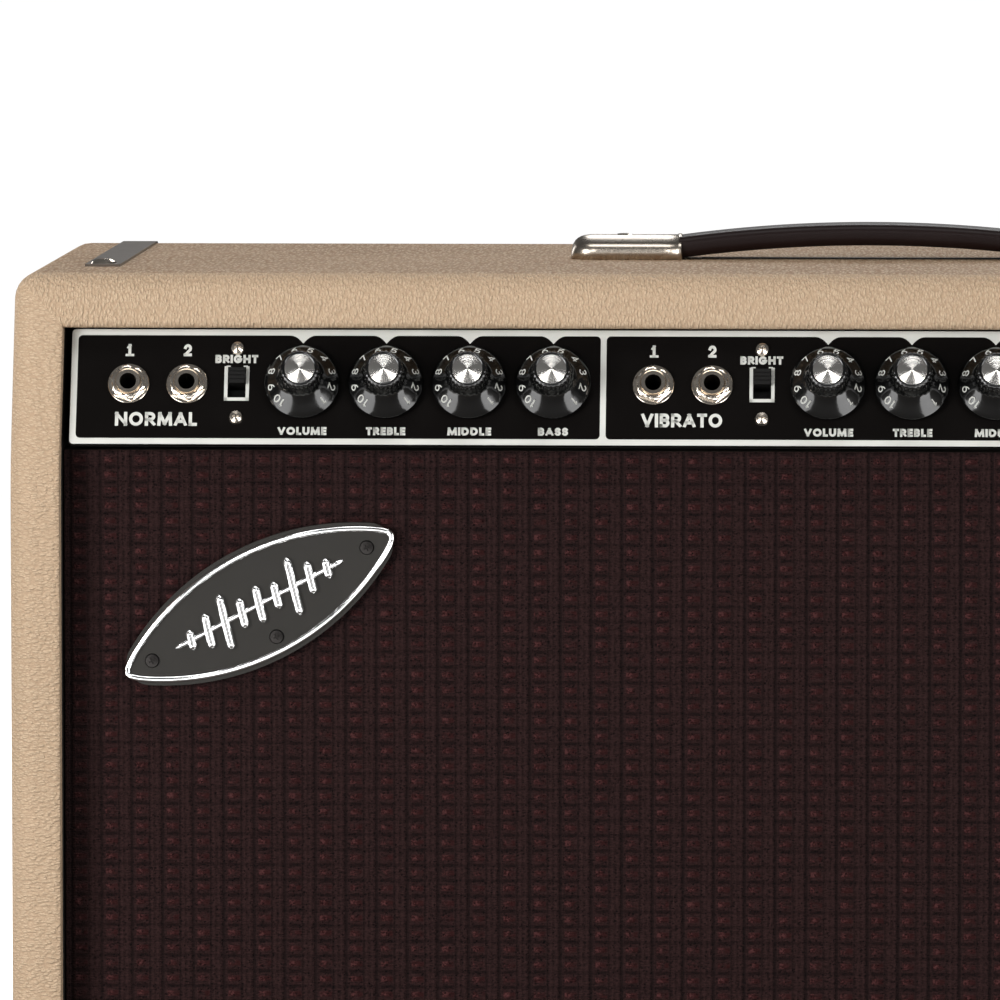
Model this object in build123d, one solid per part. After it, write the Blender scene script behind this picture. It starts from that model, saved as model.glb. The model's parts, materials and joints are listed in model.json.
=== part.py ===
from build123d import *
import os
from math import cos, radians, sin, sqrt, tan

os.makedirs("parts", exist_ok=True)

# Driving dimensions, in millimetres and degrees

# cabinet
cabinet_width = 676.0
cabinet_height = 495.0
cabinet_depth = 267.0
board = 20.0
edge_radius = 10.0
corner_radius = 13.0
knee_drop = 75.0
front_slope = 18.5
foot_height = 10.0
foot_radius = 18.0
foot_inset = 45.0

# control panel, measured along its own slope from its lower edge
panel_recess = 8.0
panel_drop = 66.4
panel_tilt = 22.0
panel_height = 48.0
panel_end_gap = 3.1
faceplate_thickness = 1.6
knob_row = 25.6
jack_row = 25.2
switch_row = 25.7
first_jack = 23.0
jack_pitch = 23.1
switch_from_jack = 42.7
knob_from_jack = 68.6
knob_pitch = 32.9
channel_pitch = 206.8
pilot_from_end = 50.0

# knobs, potentiometers, jacks and switches
knob_radius = 15.0
knob_length = 19.0
knob_gap = 1.2
barrel_radius = 7.8
cap_radius = 5.9
cap_thickness = 0.7
knob_wall = 2.4
flute_count = 16
shaft_radius = 3.0
running_clearance = 0.06
bushing_radius = 4.7
bushing_proud = 4.6
pot_radius = 12.0
pot_depth = 10.0
nut_flats = 12.6
nut_thickness = 2.2
washer_thickness = 0.8
washer_radius = 8.1
jack_radius = 4.75
jack_bore_radius = 3.3
jack_proud = 3.6
jack_body_radius = 8.0
jack_depth = 20.0
thread_clearance = 0.1
slot_width = 7.0
slot_height = 12.0
slider_height = 6.4
slider_proud = 2.2
slider_depth = 7.0
moving_gap = 0.3
switch_body_width = 12.0
switch_body_height = 35.0
switch_body_depth = 9.0
panel_screw_spacing = 28.6
panel_screw_radius = 1.5
screw_head_radius = 2.9
knob_shoulder_rise = 7.2
flute_radius = 0.8
cap_seat_step = 0.7
pilot_radius = 9.0
pilot_bezel_radius = 11.5

# chassis and what hangs from it
chassis_wall = 1.5
chassis_rear_recess = 20.0
seat_clearance = 0.2
tube_row_inset = 67.0
tube_socket_radius = 12.0
power_tube_radius = 19.0
power_tube_length = 82.0
power_tube_base = 14.0
preamp_shield_radius = 11.5
preamp_shield_length = 52.0
power_tube_places = (45.0, 92.0, 139.0, 186.0)
preamp_tube_places = (-290.0, -250.0, -210.0, -170.0, -130.0, -90.0)
rear_jack_places = (-30.0, 0.0)
phono_places = (-130.0, -105.0, -80.0, -55.0)
phono_radius = 4.2
phono_depth = 12.0
phono_proud = 7.0
inlet_place = 265.0
inlet_size = (28.0, 20.0)
inlet_depth = 24.0
inlet_flange = 2.5
inlet_wall = 2.0
fuse_place = 215.0
fuse_radius = 7.0
fuse_depth = 22.0
fuse_proud = 12.0
toggle_places = {"power": 175.0, "standby": 140.0}
toggle_bushing_radius = 6.0
toggle_bushing_proud = 7.0
toggle_pivot = 1.5
toggle_swing = 24.0
toggle_ball_radius = 3.0
toggle_length = 15.4

# transformers hang under the chassis: across, in from the rear edge, width, length, height
mains_transformer = (262.0, 77.0, 92.0, 62.0, 76.0)
output_transformer = (-20.0, 62.0, 68.0, 44.0, 58.0)
choke = (-20.0, 147.0, 50.0, 30.0, 42.0)
circuit_board_length = 500.0
circuit_board_start = 90.0
circuit_board_end_inset = 117.0
circuit_board_thickness = 2.4
circuit_board_post = 6.0

# baffle, cloth and loudspeakers
baffle_thickness = 18.0
cloth_thickness = 1.4
cloth_recess = 14.0
speaker_radius = 152.0
speaker_flange = 12.0
speaker_hole_radius = speaker_radius - speaker_flange
speaker_bolt_inset = 5.5
speaker_bolt_circle = speaker_radius - speaker_bolt_inset
speaker_bolt_radius = 2.4
speaker_bolt_count = 4
surround_width = 11.5
cone_radius = speaker_hole_radius - surround_width
cone_depth = 52.0
coil_radius = 25.0
cone_skin = 0.9
magnet_radius = 78.0
magnet_thickness = 34.0
basket_depth = 76.0
basket_skin = 1.6
basket_windows = 8
basket_window_inset = 17.0

# back
back_board = 9.5
back_recess = 2.0
upper_back_start = 74.0
upper_back_end = 200.0
lower_back_start = 330.0
cleat = 18.0
cleat_length = 34.0
back_screw_radius = 1.9
back_screw_inset = 20.0
reverb_tank_length = 426.0
reverb_tank_insets = (127.0, 21.0)
reverb_tank_height = 34.0

# top fittings
handle_length = 243.4
handle_cap_length = 45.2
handle_cap_width = 28.0
handle_cap_side = 5.6
handle_cap_crown = 9.8
handle_cap_wall = 1.5
handle_width = 25.0
handle_thickness = 9.0
handle_rise = 5.2
strip_width = 5.0
strip_thickness = 0.4
chassis_strap_width = 14.2
chassis_strap_thickness = 1.0
chassis_strap_from_end = 31.0
chassis_strap_start = 74.0
chassis_strap_fall = 22.0
chassis_strap_screw = 6.5
chassis_strap_rear_screw_drop = 15.5
oval_head_radius = 5.2
oval_head_height = 2.2
oval_shank_radius = 2.2
handle_head_radius = 4.4
handle_head_height = 1.5
handle_head_sunk = 0.9

# badge
badge_length = 130.0
badge_width = 46.0
badge_tilt = 28.0
badge_thickness = 3.0
badge_from_side = 98.0
badge_drop = 129.5
badge_bar_heights = (9.0, 15.0, 23.0, 13.0, 16.0, 12.0, 24.0, 14.0, 9.0)
badge_bar_spacing = 7.6
badge_bar_width = 3.6
badge_bar_slant = 14.0
badge_bar_relief = 2.2
badge_rail_width = 2.0
badge_rim_width = 2.0
badge_rim_relief = 1.2
badge_screw_radius = 1.4
badge_head_radius = 2.9
badge_screw_inset = 17.0

# Derived places

knob_reach = knob_length * cos(radians(panel_tilt)) - panel_recess
knob_overhang = max(0.0, knob_reach - (knob_row - barrel_radius + cap_seat_step) * sin(radians(panel_tilt)))
rear_overhang = chassis_strap_thickness + oval_head_height
overall_depth = knob_overhang + cabinet_depth + rear_overhang
front_y = knob_overhang - overall_depth / 2
rear_y = front_y + cabinet_depth
top_z = foot_height + cabinet_height
half_width = cabinet_width / 2
inner_half = half_width - board
panel_half = inner_half - panel_end_gap
knee_z = top_z - knee_drop
top_front_y = front_y + knee_drop * tan(radians(front_slope))
top_middle_y = (top_front_y + rear_y) / 2
chassis_floor_drop = panel_drop + 0.8
chassis_floor_z = top_z - chassis_floor_drop
chassis_rear_y = rear_y - chassis_rear_recess
chassis_top_z = top_z - board - seat_clearance
cloth_front_y = front_y + cloth_recess
baffle_front_y = cloth_front_y + cloth_thickness
baffle_rear_y = baffle_front_y + baffle_thickness
baffle_top_z = chassis_floor_z - 1.8
floor_z = foot_height + board
baffle_middle_z = (baffle_top_z + floor_z) / 2
baffle_height = baffle_top_z - floor_z
speaker_x = inner_half / 2
wall_back = -(faceplate_thickness + chassis_wall)
BOTTOM = (Align.CENTER, Align.CENTER, Align.MIN)

panel = Plane(
    origin=(0, front_y + panel_recess, top_z - panel_drop),
    x_dir=(1, 0, 0),
    z_dir=(0, -cos(radians(panel_tilt)), sin(radians(panel_tilt))),
)
rear_wall = Plane(
    origin=(0, chassis_rear_y, (chassis_floor_z + chassis_top_z) / 2),
    x_dir=(-1, 0, 0),
    z_dir=(0, 1, 0),
)


def group(*pieces):
    """Several separate solids kept side by side in one node."""
    return Compound([solid for piece in pieces for solid in piece.solids()])


def at(plane, x, y, z=0.0):
    return plane.location * Pos(x, y, z)


def post(radius, low, high):
    """A round bar along Z from low to high."""
    return Pos(0, 0, low) * Cylinder(radius, high - low, align=BOTTOM)


def tube(outer, inner, low, high):
    return post(outer, low, high) - post(inner, low - 1, high + 1)


def block(x_range, y_range, z_range):
    size = [high - low for low, high in (x_range, y_range, z_range)]
    middle = [(high + low) / 2 for low, high in (x_range, y_range, z_range)]
    return Pos(*middle) * Box(*size)


def turned(points):
    """A solid turned about Z from its half outline of (radius, height) points."""
    return revolve(make_face(Plane.XZ * Polyline(*points, close=True)), Axis.Z)


def hexagon(flats, bore, low, high):
    nut = Pos(0, 0, low) * extrude(RegularPolygon(flats / 2, 6, major_radius=False), high - low)
    return nut - post(bore, low - 1, high + 1)


def mirrored(piece):
    return mirror(piece, about=Plane.YZ)


# Cabinet boards

def side_profile():
    corners = [
        (front_y, foot_height), (front_y, knee_z), (top_front_y, top_z),
        (rear_y, top_z), (rear_y, foot_height),
    ]
    outline = make_face(Polyline(*corners, close=True))
    return fillet(outline.vertices(), corner_radius)


def cabinet_boards():
    outline = Plane.YZ * side_profile()
    left = Pos(-half_width, 0, 0) * extrude(outline, board)
    left = fillet(left.faces().sort_by(Axis.X)[0].edges(), edge_radius)
    core = Pos(-inner_half, 0, 0) * extrude(outline, 2 * inner_half)
    span = (-inner_half, inner_half)
    reach = (-cabinet_depth, cabinet_depth)
    top = core & block(span, reach, (top_z - board, top_z))
    bottom = core & block(span, reach, (foot_height, floor_z))
    for hole in shank_holes():
        top -= hole
    return {"cabinet_side_left": left, "cabinet_side_right": mirrored(left),
            "cabinet_top": top, "cabinet_bottom": bottom}


def feet():
    shape = turned([(0, 0), (foot_radius - 3, 0), (foot_radius, foot_height), (0, foot_height)])
    x = half_width - foot_inset
    places = [(sx * x, y) for sx in (-1, 1) for y in (front_y + foot_inset, rear_y - foot_inset)]
    return group(*[Pos(px, py, 0) * shape for px, py in places])


# Control panel

def jack_places():
    start = -panel_half + first_jack
    return [start + channel * channel_pitch + side * jack_pitch for channel in (0, 1) for side in (0, 1)]


def switch_places():
    return [-panel_half + first_jack + channel * channel_pitch + switch_from_jack for channel in (0, 1)]


def knob_places():
    start = -panel_half + first_jack + knob_from_jack
    tone = ["volume", "treble", "middle", "bass"]
    first = ["normal_" + name for name in tone]
    second = ["vibrato_" + name for name in tone] + ["reverb", "speed", "intensity"]
    return ([(name, start + i * knob_pitch) for i, name in enumerate(first)]
            + [(name, start + channel_pitch + i * knob_pitch) for i, name in enumerate(second)])


pilot_x = panel_half - pilot_from_end
panel_screw_places = [
    (x, switch_row + side * panel_screw_spacing / 2) for x in switch_places() for side in (-1, 1)]


def panel_cutters():
    """Everything that passes through the faceplate and the chassis wall behind it."""
    low, high = wall_back - 1, 1
    holes = [at(panel, x, jack_row) * post(jack_radius + thread_clearance, low, high) for x in jack_places()]
    holes += [
        at(panel, x, knob_row) * post(bushing_radius + thread_clearance, low, high) for name, x in knob_places()]
    holes += [at(panel, x, y) * post(panel_screw_radius, low, high) for x, y in panel_screw_places]
    holes += [at(panel, x, switch_row, (low + high) / 2) * Box(slot_width, slot_height, high - low)
              for x in switch_places()]
    holes.append(at(panel, pilot_x, knob_row) * post(pilot_radius + thread_clearance, low, high))
    return group(*holes)


def faceplate():
    plate = at(panel, 0, panel_height / 2, -faceplate_thickness / 2) * Box(
        2 * panel_half, panel_height, faceplate_thickness)
    return plate - panel_cutters()


def knob():
    """Skirted knob with its shaft and cap, its axis on Z and the faceplate at Z = 0."""
    bore_top = knob_length - cap_thickness - knob_wall
    cavity_top = bushing_proud + 1.6
    nut_reach = nut_flats / sqrt(3) + 1.0
    shoulder = knob_gap + knob_shoulder_rise
    body = turned([
        (knob_radius, knob_gap), (knob_radius, knob_gap + 1.0), (barrel_radius + 0.8, shoulder),
        (barrel_radius, shoulder + 1.4), (barrel_radius - 0.2, knob_length - 0.5),
        (barrel_radius - cap_seat_step, knob_length), (cap_radius, knob_length),
        (cap_radius, knob_length - cap_thickness),
        (0, knob_length - cap_thickness), (0, bore_top), (shaft_radius, bore_top), (shaft_radius, cavity_top),
        (nut_reach, cavity_top - 0.8), (knob_radius - knob_wall, knob_gap + 0.8),
        (knob_radius - knob_wall, knob_gap),
    ])
    flute = Pos(barrel_radius + 0.35, 0, 0) * post(flute_radius, shoulder + 1.5, knob_length + 1)
    body -= group(*[Rot(0, 0, 360 * i / flute_count) * flute for i in range(flute_count)])
    cap = post(cap_radius, knob_length - cap_thickness, knob_length)
    shaft = post(shaft_radius, wall_back - pot_depth + 2.0, bore_top)
    return group(body, cap, shaft)


def potentiometer():
    body = post(pot_radius, wall_back - pot_depth, wall_back) + post(bushing_radius, wall_back, bushing_proud)
    return body - post(shaft_radius + running_clearance, wall_back - pot_depth + 1.5, bushing_proud + 1)


def nut_and_washer(bore):
    washer = tube(washer_radius, bore + thread_clearance, 0, washer_thickness)
    nut = hexagon(nut_flats, bore + thread_clearance, washer_thickness, washer_thickness + nut_thickness)
    return group(washer, nut)


def input_jack():
    outside = post(jack_radius, wall_back, jack_proud) + post(jack_body_radius, wall_back - jack_depth, wall_back)
    return outside - post(jack_bore_radius, wall_back - jack_depth - 1, jack_proud + 1)


def slide_switch_body():
    body = Box(switch_body_width, switch_body_height, switch_body_depth)
    body = Pos(0, 0, wall_back - switch_body_depth / 2) * body
    pocket_depth = slider_depth - faceplate_thickness - chassis_wall + moving_gap
    body -= Pos(0, 0, wall_back - pocket_depth / 2) * Box(slot_width, slot_height, pocket_depth)
    for side in (-1, 1):
        body -= Pos(0, side * panel_screw_spacing / 2, 0) * post(panel_screw_radius, wall_back - 6, 0)
    return body


def slider():
    """Slide switch actuator, stored against the upper end of its slot."""
    length = slider_proud + slider_depth
    piece = Box(slot_width - 2 * moving_gap, slider_height, length)
    piece = Pos(0, slot_height / 2 - moving_gap - slider_height / 2, slider_proud - length / 2) * piece
    for offset in (-1.6, 0, 1.6):
        y = slot_height / 2 - moving_gap - slider_height / 2 + offset
        piece -= Pos(0, y, slider_proud) * Box(slot_width, 0.6, 0.8)
    return piece


def panel_screw():
    head = turned([(0, 0), (screw_head_radius, 0), (screw_head_radius - 0.5, 0.9), (0, 1.4)])
    return head - Pos(0, 0, 1.1) * (Box(2.8, 0.6, 1.0) + Box(0.6, 2.8, 1.0)) + post(panel_screw_radius, -8, 0)


# Chassis

def chassis():
    """Open-topped tray of flat plates that meet at its folds, so its inside stays open."""
    up = (sin(radians(panel_tilt)), cos(radians(panel_tilt)))
    into = (cos(radians(panel_tilt)), -sin(radians(panel_tilt)))
    foot_point = (front_y + panel_recess + into[0] * faceplate_thickness,
                  top_z - panel_drop + into[1] * faceplate_thickness)

    def tray(inset):
        start = (foot_point[0] + into[0] * inset, foot_point[1] + into[1] * inset)
        low = chassis_floor_z + inset
        high = chassis_top_z + (inset > 0)
        along_low, along_high = [(z - start[1]) / up[1] for z in (low, high)]
        points = [(start[0] + up[0] * along_low, low), (start[0] + up[0] * along_high, high),
                  (chassis_rear_y - inset, high), (chassis_rear_y - inset, low)]
        half = panel_half - 0.4 - inset
        return Pos(-half, 0, 0) * extrude(Plane.YZ * make_face(Polyline(*points, close=True)), 2 * half)

    body = tray(0) - tray(chassis_wall) - panel_cutters() - rear_cutters()
    for x in preamp_tube_places + power_tube_places:
        body -= Pos(x, rear_y - tube_row_inset, 0) * post(tube_socket_radius, chassis_floor_z - 1, chassis_floor_z + 3)
    far = cabinet_width
    end = panel_half - 0.4 - chassis_wall
    seam = chassis_floor_z + chassis_wall
    rear = (chassis_rear_y - chassis_wall, far)
    low = rear_wall.origin.Z - inlet_size[1] / 2
    high = rear_wall.origin.Z + inlet_size[1] / 2
    left, right = inlet_place - inlet_size[0] / 2, inlet_place + inlet_size[0] / 2
    inside = (-end, end)
    plates = [
        block((-far, far), (-far, far), (0, seam)),
        block((-far, -end), (-far, far), (seam, far)),
        block((end, far), (-far, far), (seam, far)),
        block(inside, (-far, rear[0]), (seam, far)),
        block((-end, left), rear, (seam, far)),
        block((right, end), rear, (seam, far)),
        block((left, right), rear, (seam, low)),
        block((left, right), rear, (high, far)),
    ]
    return group(*[body & plate for plate in plates])


def on_rear(x, piece):
    return at(rear_wall, -x, 0) * piece


def rear_cutters():
    low, high = -chassis_wall - 1, 1
    holes = [on_rear(x, post(jack_radius + thread_clearance, low, high)) for x in rear_jack_places]
    holes += [on_rear(x, post(phono_radius, low, high)) for x in phono_places]
    holes += [on_rear(x, post(toggle_bushing_radius + thread_clearance, low, high)) for x in toggle_places.values()]
    holes.append(on_rear(fuse_place, post(fuse_radius, low, high)))
    holes.append(on_rear(inlet_place, Box(*inlet_size, high - low + 2)))
    return group(*holes)


def rear_jacks():
    outside = post(jack_radius, -chassis_wall, jack_proud)
    outside += post(jack_body_radius, -chassis_wall - jack_depth, -chassis_wall)
    jack = outside - post(jack_bore_radius, -chassis_wall - jack_depth - 1, jack_proud + 1)
    return group(*[on_rear(x, jack) for x in rear_jack_places])


def phono_sockets():
    socket = post(phono_radius, -phono_depth, phono_proud) + post(phono_radius + 2.5, 0, 1)
    socket -= post(1.8, -6, phono_proud + 1)
    return group(*[on_rear(x, socket) for x in phono_places])


def ac_inlet():
    width, height = inlet_size
    flange = Pos(0, 0, inlet_flange / 2) * Box(width + 2 * inlet_flange, height + 2 * inlet_flange, inlet_flange)
    body = Pos(0, 0, -inlet_depth / 2) * Box(width, height, inlet_depth) + flange
    socket = inlet_depth - 7
    body -= Pos(0, 0, inlet_flange - socket / 2) * Box(width - 2 * inlet_wall, height - 2 * inlet_wall, socket)
    for x, y in ((-width / 4, -2), (0, 2), (width / 4, -2)):
        body += Pos(x, y, -inlet_depth / 2) * Box(2, 4, inlet_depth / 2 + 1)
    return on_rear(inlet_place, body)


def fuse_holder():
    body = post(fuse_radius, -fuse_depth, 2) + post(fuse_radius + 2, 0, 3) + post(fuse_radius - 1, 3, fuse_proud)
    return on_rear(fuse_place, body - Pos(0, 0, fuse_proud) * Box(fuse_radius + 1, 1.2, 2))


def toggle_bushings():
    body = post(toggle_bushing_radius, -chassis_wall, toggle_bushing_proud)
    body += Pos(0, 0, -chassis_wall - 9) * Box(14, 22, 18)
    cavity = post(toggle_ball_radius + 1.5, toggle_pivot - 7, toggle_bushing_proud + 1)
    return group(*[on_rear(x, body - cavity) for x in toggle_places.values()])


def toggle_lever():
    """Bat lever stored at its lower stop, swung about the pivot ball."""
    bat = turned([
        (0, -toggle_ball_radius), (1.5, -toggle_ball_radius), (1.5, 3.0), (2.6, toggle_length - 2.4),
        (2.0, toggle_length - 0.4), (0, toggle_length),
    ])
    bat += Sphere(toggle_ball_radius)
    return Pos(0, 0, toggle_pivot) * Rot(toggle_swing / 2, 0, 0) * bat


def tubes():
    y = rear_y - tube_row_inset
    face = chassis_floor_z - 2.0
    socket = tube(tube_socket_radius + 4, 4, chassis_floor_z + chassis_wall, chassis_floor_z + chassis_wall + 3)
    socket += tube(tube_socket_radius - 0.2, 4, face, chassis_floor_z + chassis_wall + 3)
    glass_top = face - power_tube_base
    base = post(power_tube_radius - 2, glass_top, face)
    end = glass_top - power_tube_length
    glass = turned([(0, glass_top), (power_tube_radius - 4, glass_top), (power_tube_radius, glass_top - 14),
                    (power_tube_radius, end + 16), (power_tube_radius - 5, end + 5), (0, end)])
    shield = post(preamp_shield_radius, face - preamp_shield_length, face)
    shield -= post(preamp_shield_radius - 1, face - preamp_shield_length + 1, face - 6)
    places = [Pos(x, y, 0) for x in preamp_tube_places + power_tube_places]
    power = [Pos(x, y, 0) for x in power_tube_places]
    preamp = [Pos(x, y, 0) for x in preamp_tube_places]
    return {"tube_sockets": group(*[p * socket for p in places], *[p * base for p in power]),
            "power_tubes": group(*[p * glass for p in power]),
            "preamp_tube_shields": group(*[p * shield for p in preamp])}


def transformers():
    def unit(x, inset, width, length, height):
        """Square core with a rounded bell over each end."""
        top = chassis_floor_z
        y = rear_y - inset
        core = block((x - width / 2, x + width / 2), (y - length / 2, y + length / 2), (top - height, top))
        bell = block((x - width / 2 + 6, x + width / 2 - 6), (y - length / 2 - 10, y + length / 2 + 10),
                     (top - height + 6, top - 6))
        return core + fillet(bell.edges(), 5)
    return group(unit(*mains_transformer), unit(*output_transformer), unit(*choke))


def circuit_board():
    z = chassis_floor_z + chassis_wall
    half = circuit_board_length / 2
    near, far = front_y + circuit_board_start, rear_y - circuit_board_end_inset
    board_bottom = z + circuit_board_post
    plate = block((-half, half), (near, far), (board_bottom, board_bottom + circuit_board_thickness))
    for x in (-half + 10, half - 10):
        for y in (near + 6, far - 6):
            plate += Pos(x, y, 0) * post(3, z, z + circuit_board_post)
    return plate


# Baffle and loudspeakers

def speaker_frame(side):
    return Plane(origin=(side * speaker_x, baffle_rear_y, baffle_middle_z), x_dir=(-1, 0, 0), z_dir=(0, 1, 0))


def around(count, piece, radius, turn=0.0):
    return [Rot(0, 0, turn + 360 * i / count) * Pos(radius, 0, 0) * piece for i in range(count)]


def baffle():
    width = 2 * (inner_half - 0.5)
    y = (baffle_front_y, baffle_rear_y)
    plate = block((-width / 2, width / 2), y, (floor_z, baffle_top_z))
    hole = post(speaker_hole_radius, -baffle_thickness - 1, 1)
    bolts = around(speaker_bolt_count, post(speaker_bolt_radius, -baffle_thickness + 4, 1), speaker_bolt_circle, 45)
    for side in (-1, 1):
        plate -= group(*[speaker_frame(side).location * cut for cut in [hole] + bolts])
    for x, y in badge_screw_places:
        plate -= at(badge_plane, x, y) * post(badge_screw_radius, -cloth_thickness - 10, 1)
    return plate


def grille_cloth():
    half = inner_half - 0.6
    sheet = block((-half, half), (cloth_front_y, baffle_front_y), (floor_z, baffle_top_z))
    for x, y in badge_screw_places:
        sheet -= at(badge_plane, x, y) * post(badge_screw_radius, -cloth_thickness - 1, 1)
    return sheet


def basket():
    back = basket_depth
    rim = speaker_hole_radius - 3
    shell = turned([
        (rim, 0), (speaker_radius, 0), (speaker_radius, 3), (rim + 2, 3), (rim + 2, 10),
        (magnet_radius + 30, back - 22), (magnet_radius - 26, back), (coil_radius + 6, back),
        (coil_radius + 6, back - basket_skin), (magnet_radius - 27, back - basket_skin),
        (magnet_radius + 28, back - 22 - basket_skin), (rim, 10),
    ])
    window = Pos(0, 0, 16 + (back - 46) / 2) * Box(48, 42, back - 46)
    cuts = around(basket_windows, window, rim - basket_window_inset)
    shell -= group(*cuts)
    bolts = around(speaker_bolt_count, post(speaker_bolt_radius, -1, 4), speaker_bolt_circle, 45)
    return shell - group(*bolts)


def cone():
    start, neck = 7.0, 7.0 + cone_depth
    slope_gap = cone_skin * 1.2
    paper = turned([
        (cone_radius, start), (cone_radius, start + slope_gap), (coil_radius, neck + slope_gap),
        (coil_radius, basket_depth + 8), (coil_radius - cone_skin, basket_depth + 8),
        (coil_radius - cone_skin, neck),
    ])
    dome_rim = coil_radius + 6
    dome_z = neck - (dome_rim - coil_radius) * cone_depth / (cone_radius - coil_radius)
    dome = turned([(dome_rim, dome_z), (0, dome_z - 9), (0, dome_z - 8.2), (dome_rim - 2, dome_z + 0.4)])
    return paper + dome


def suspension():
    surround = tube(speaker_hole_radius - 3.2, cone_radius + moving_gap, 3.4, 8.0)
    spider = tube(magnet_radius - 4, coil_radius + moving_gap, basket_depth - 12.5, basket_depth - 11.5)
    return group(surround, spider)


def magnet():
    low, high = basket_depth, basket_depth + magnet_thickness
    gap_low = coil_radius - cone_skin - 0.8
    return post(magnet_radius, low, high) - tube(coil_radius + 0.8, gap_low, low - 1, high - 8)


def speaker_bolts():
    bolt = post(speaker_bolt_radius, -baffle_thickness + 4.2, 3) + hexagon(8, 0.01, 3, 6)
    return group(*around(speaker_bolt_count, bolt, speaker_bolt_circle, 45))


def both_speakers(piece):
    return group(*[speaker_frame(side).location * piece for side in (-1, 1)])


# Back

def back_panels():
    half = inner_half - 0.5
    y = (rear_y - back_recess - back_board, rear_y - back_recess)
    upper = block((-half, half), y, (top_z - upper_back_end, top_z - upper_back_start))
    lower = block((-half, half), y, (floor_z, top_z - lower_back_start))
    screws = []
    cutters = []
    for x in (-inner_half + cleat / 2, inner_half - cleat / 2):
        for z in back_screw_heights:
            place = Pos(x, y[1], z) * Rot(-90, 0, 0)
            cutters.append(place * post(back_screw_radius, -30, 1))
            head = turned([(0, 0), (4, 0), (3.2, 1.0), (0, 1.6)])
            screws.append(place * (head + post(back_screw_radius, -24, 0)))
    cut = group(*cutters)
    return upper - cut, lower - cut, group(*screws), cut


back_screw_heights = [top_z - drop for drop in (
    upper_back_start + back_screw_inset, upper_back_end - back_screw_inset,
    lower_back_start + back_screw_inset, cabinet_height - board - back_screw_inset)]


def cleats(cut):
    inner = (inner_half - cleat, inner_half)
    rear = (rear_y - back_recess - back_board - cleat, rear_y - back_recess - back_board)
    front = (baffle_rear_y, baffle_rear_y + cleat)
    pieces = [
        block(inner, rear, (top_z - upper_back_end, chassis_floor_z - 2)),
        block(inner, rear, (floor_z, top_z - lower_back_start)),
        block(inner, front, (baffle_top_z - cleat_length, baffle_top_z - 2)),
        block(inner, front, (floor_z, floor_z + cleat_length)),
    ]
    blocks = group(*pieces, *[mirrored(piece) for piece in pieces])
    return group(*[solid - cut for solid in blocks.solids()])


def reverb_tank():
    half = reverb_tank_length / 2
    depths = [rear_y - inset for inset in reverb_tank_insets]
    tank = block((-half, half), depths, (floor_z, floor_z + reverb_tank_height))
    return fillet(tank.edges().filter_by(Axis.Z), 4)


# Handle and chassis straps

handle_half = handle_length / 2
mouth = handle_half - handle_cap_length
handle_screw_x = mouth + handle_cap_length / 2 + 1
strap_x = half_width - chassis_strap_from_end
strap_start_y = front_y + chassis_strap_start
shank = board - 4
top_screw_places = [(side * handle_screw_x, top_middle_y, handle_cap_crown - handle_head_sunk) for side in (-1, 1)]
top_screw_places += [
    (side * strap_x, strap_start_y + chassis_strap_screw, chassis_strap_thickness) for side in (-1, 1)]
rear_screw_places = [
    Pos(side * strap_x, rear_y, top_z - chassis_strap_rear_screw_drop) * Rot(-90, 0, 0) for side in (-1, 1)]


def shank_holes():
    """Holes for the oval-head screws in the top board, from above and from behind."""
    holes = [Pos(x, y, top_z) * post(oval_shank_radius, -board - 1, 1) for x, y, seat in top_screw_places]
    return holes + [place * post(oval_shank_radius, -shank - 1, 1) for place in rear_screw_places]


def cap_block(width, side, crown, length):
    """Crowned bar along +X from the mouth, with a rounded far end."""
    half = width / 2
    outline = make_face([Line((-half, 0), (half, 0)), Line((half, 0), (half, side)),
                         ThreePointArc((half, side), (0, crown), (-half, side)), Line((-half, side), (-half, 0))])
    bar = extrude(Plane.YZ * outline, length)
    plan = Pos(length / 2 - 20, 0, 0) * extrude(RectangleRounded(length + 40, width, 9), crown + 1)
    return bar & plan


def handle_cap():
    wall = handle_cap_wall
    shell = cap_block(handle_cap_width, handle_cap_side, handle_cap_crown, handle_cap_length)
    hollow = cap_block(handle_cap_width - 2 * wall, handle_cap_side - wall, handle_cap_crown - wall,
                       handle_cap_length - wall)
    shell -= Pos(-0.01, 0, 0) * hollow
    seat = handle_cap_crown - handle_head_sunk
    screw_hole = post(oval_shank_radius, -1, seat + 0.1)
    screw_hole += post(handle_head_radius + 0.1, seat, handle_cap_crown + 1)
    return Pos(mouth, top_middle_y, top_z) * (shell - Pos(handle_screw_x - mouth, 0, 0) * screw_hole)


def handle_tongue():
    length = handle_cap_length - 4
    tongue = Pos(length / 2, 0, 3.0) * Box(length, 18, 1.6)
    slot = Pos(handle_screw_x - mouth, 0, 3.0) * extrude(SlotOverall(22, 2 * oval_shank_radius + 0.6), 2, both=True)
    return Pos(mouth + 0.5, top_middle_y, top_z) * (tongue - slot)


def handle_strap():
    reach = mouth - moving_gap
    low = 0.4
    high = low + handle_thickness
    outline = make_face([
        ThreePointArc((-reach, low), (0, low + handle_rise), (reach, low)), Line((reach, low), (reach, high)),
        ThreePointArc((reach, high), (0, high + handle_rise), (-reach, high)),
        Line((-reach, high), (-reach, low)),
    ])
    strap = extrude(Plane.XZ * outline, handle_width / 2, both=True)
    long_edges = [edge for edge in strap.edges() if edge.length > reach]
    return Pos(0, top_middle_y, top_z) * fillet(long_edges, handle_thickness * 0.36)


def rub_strip():
    half = mouth - 8
    y = (top_middle_y - strip_width / 2, top_middle_y + strip_width / 2)
    return block((-half, half), y, (top_z, top_z + strip_thickness))


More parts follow.
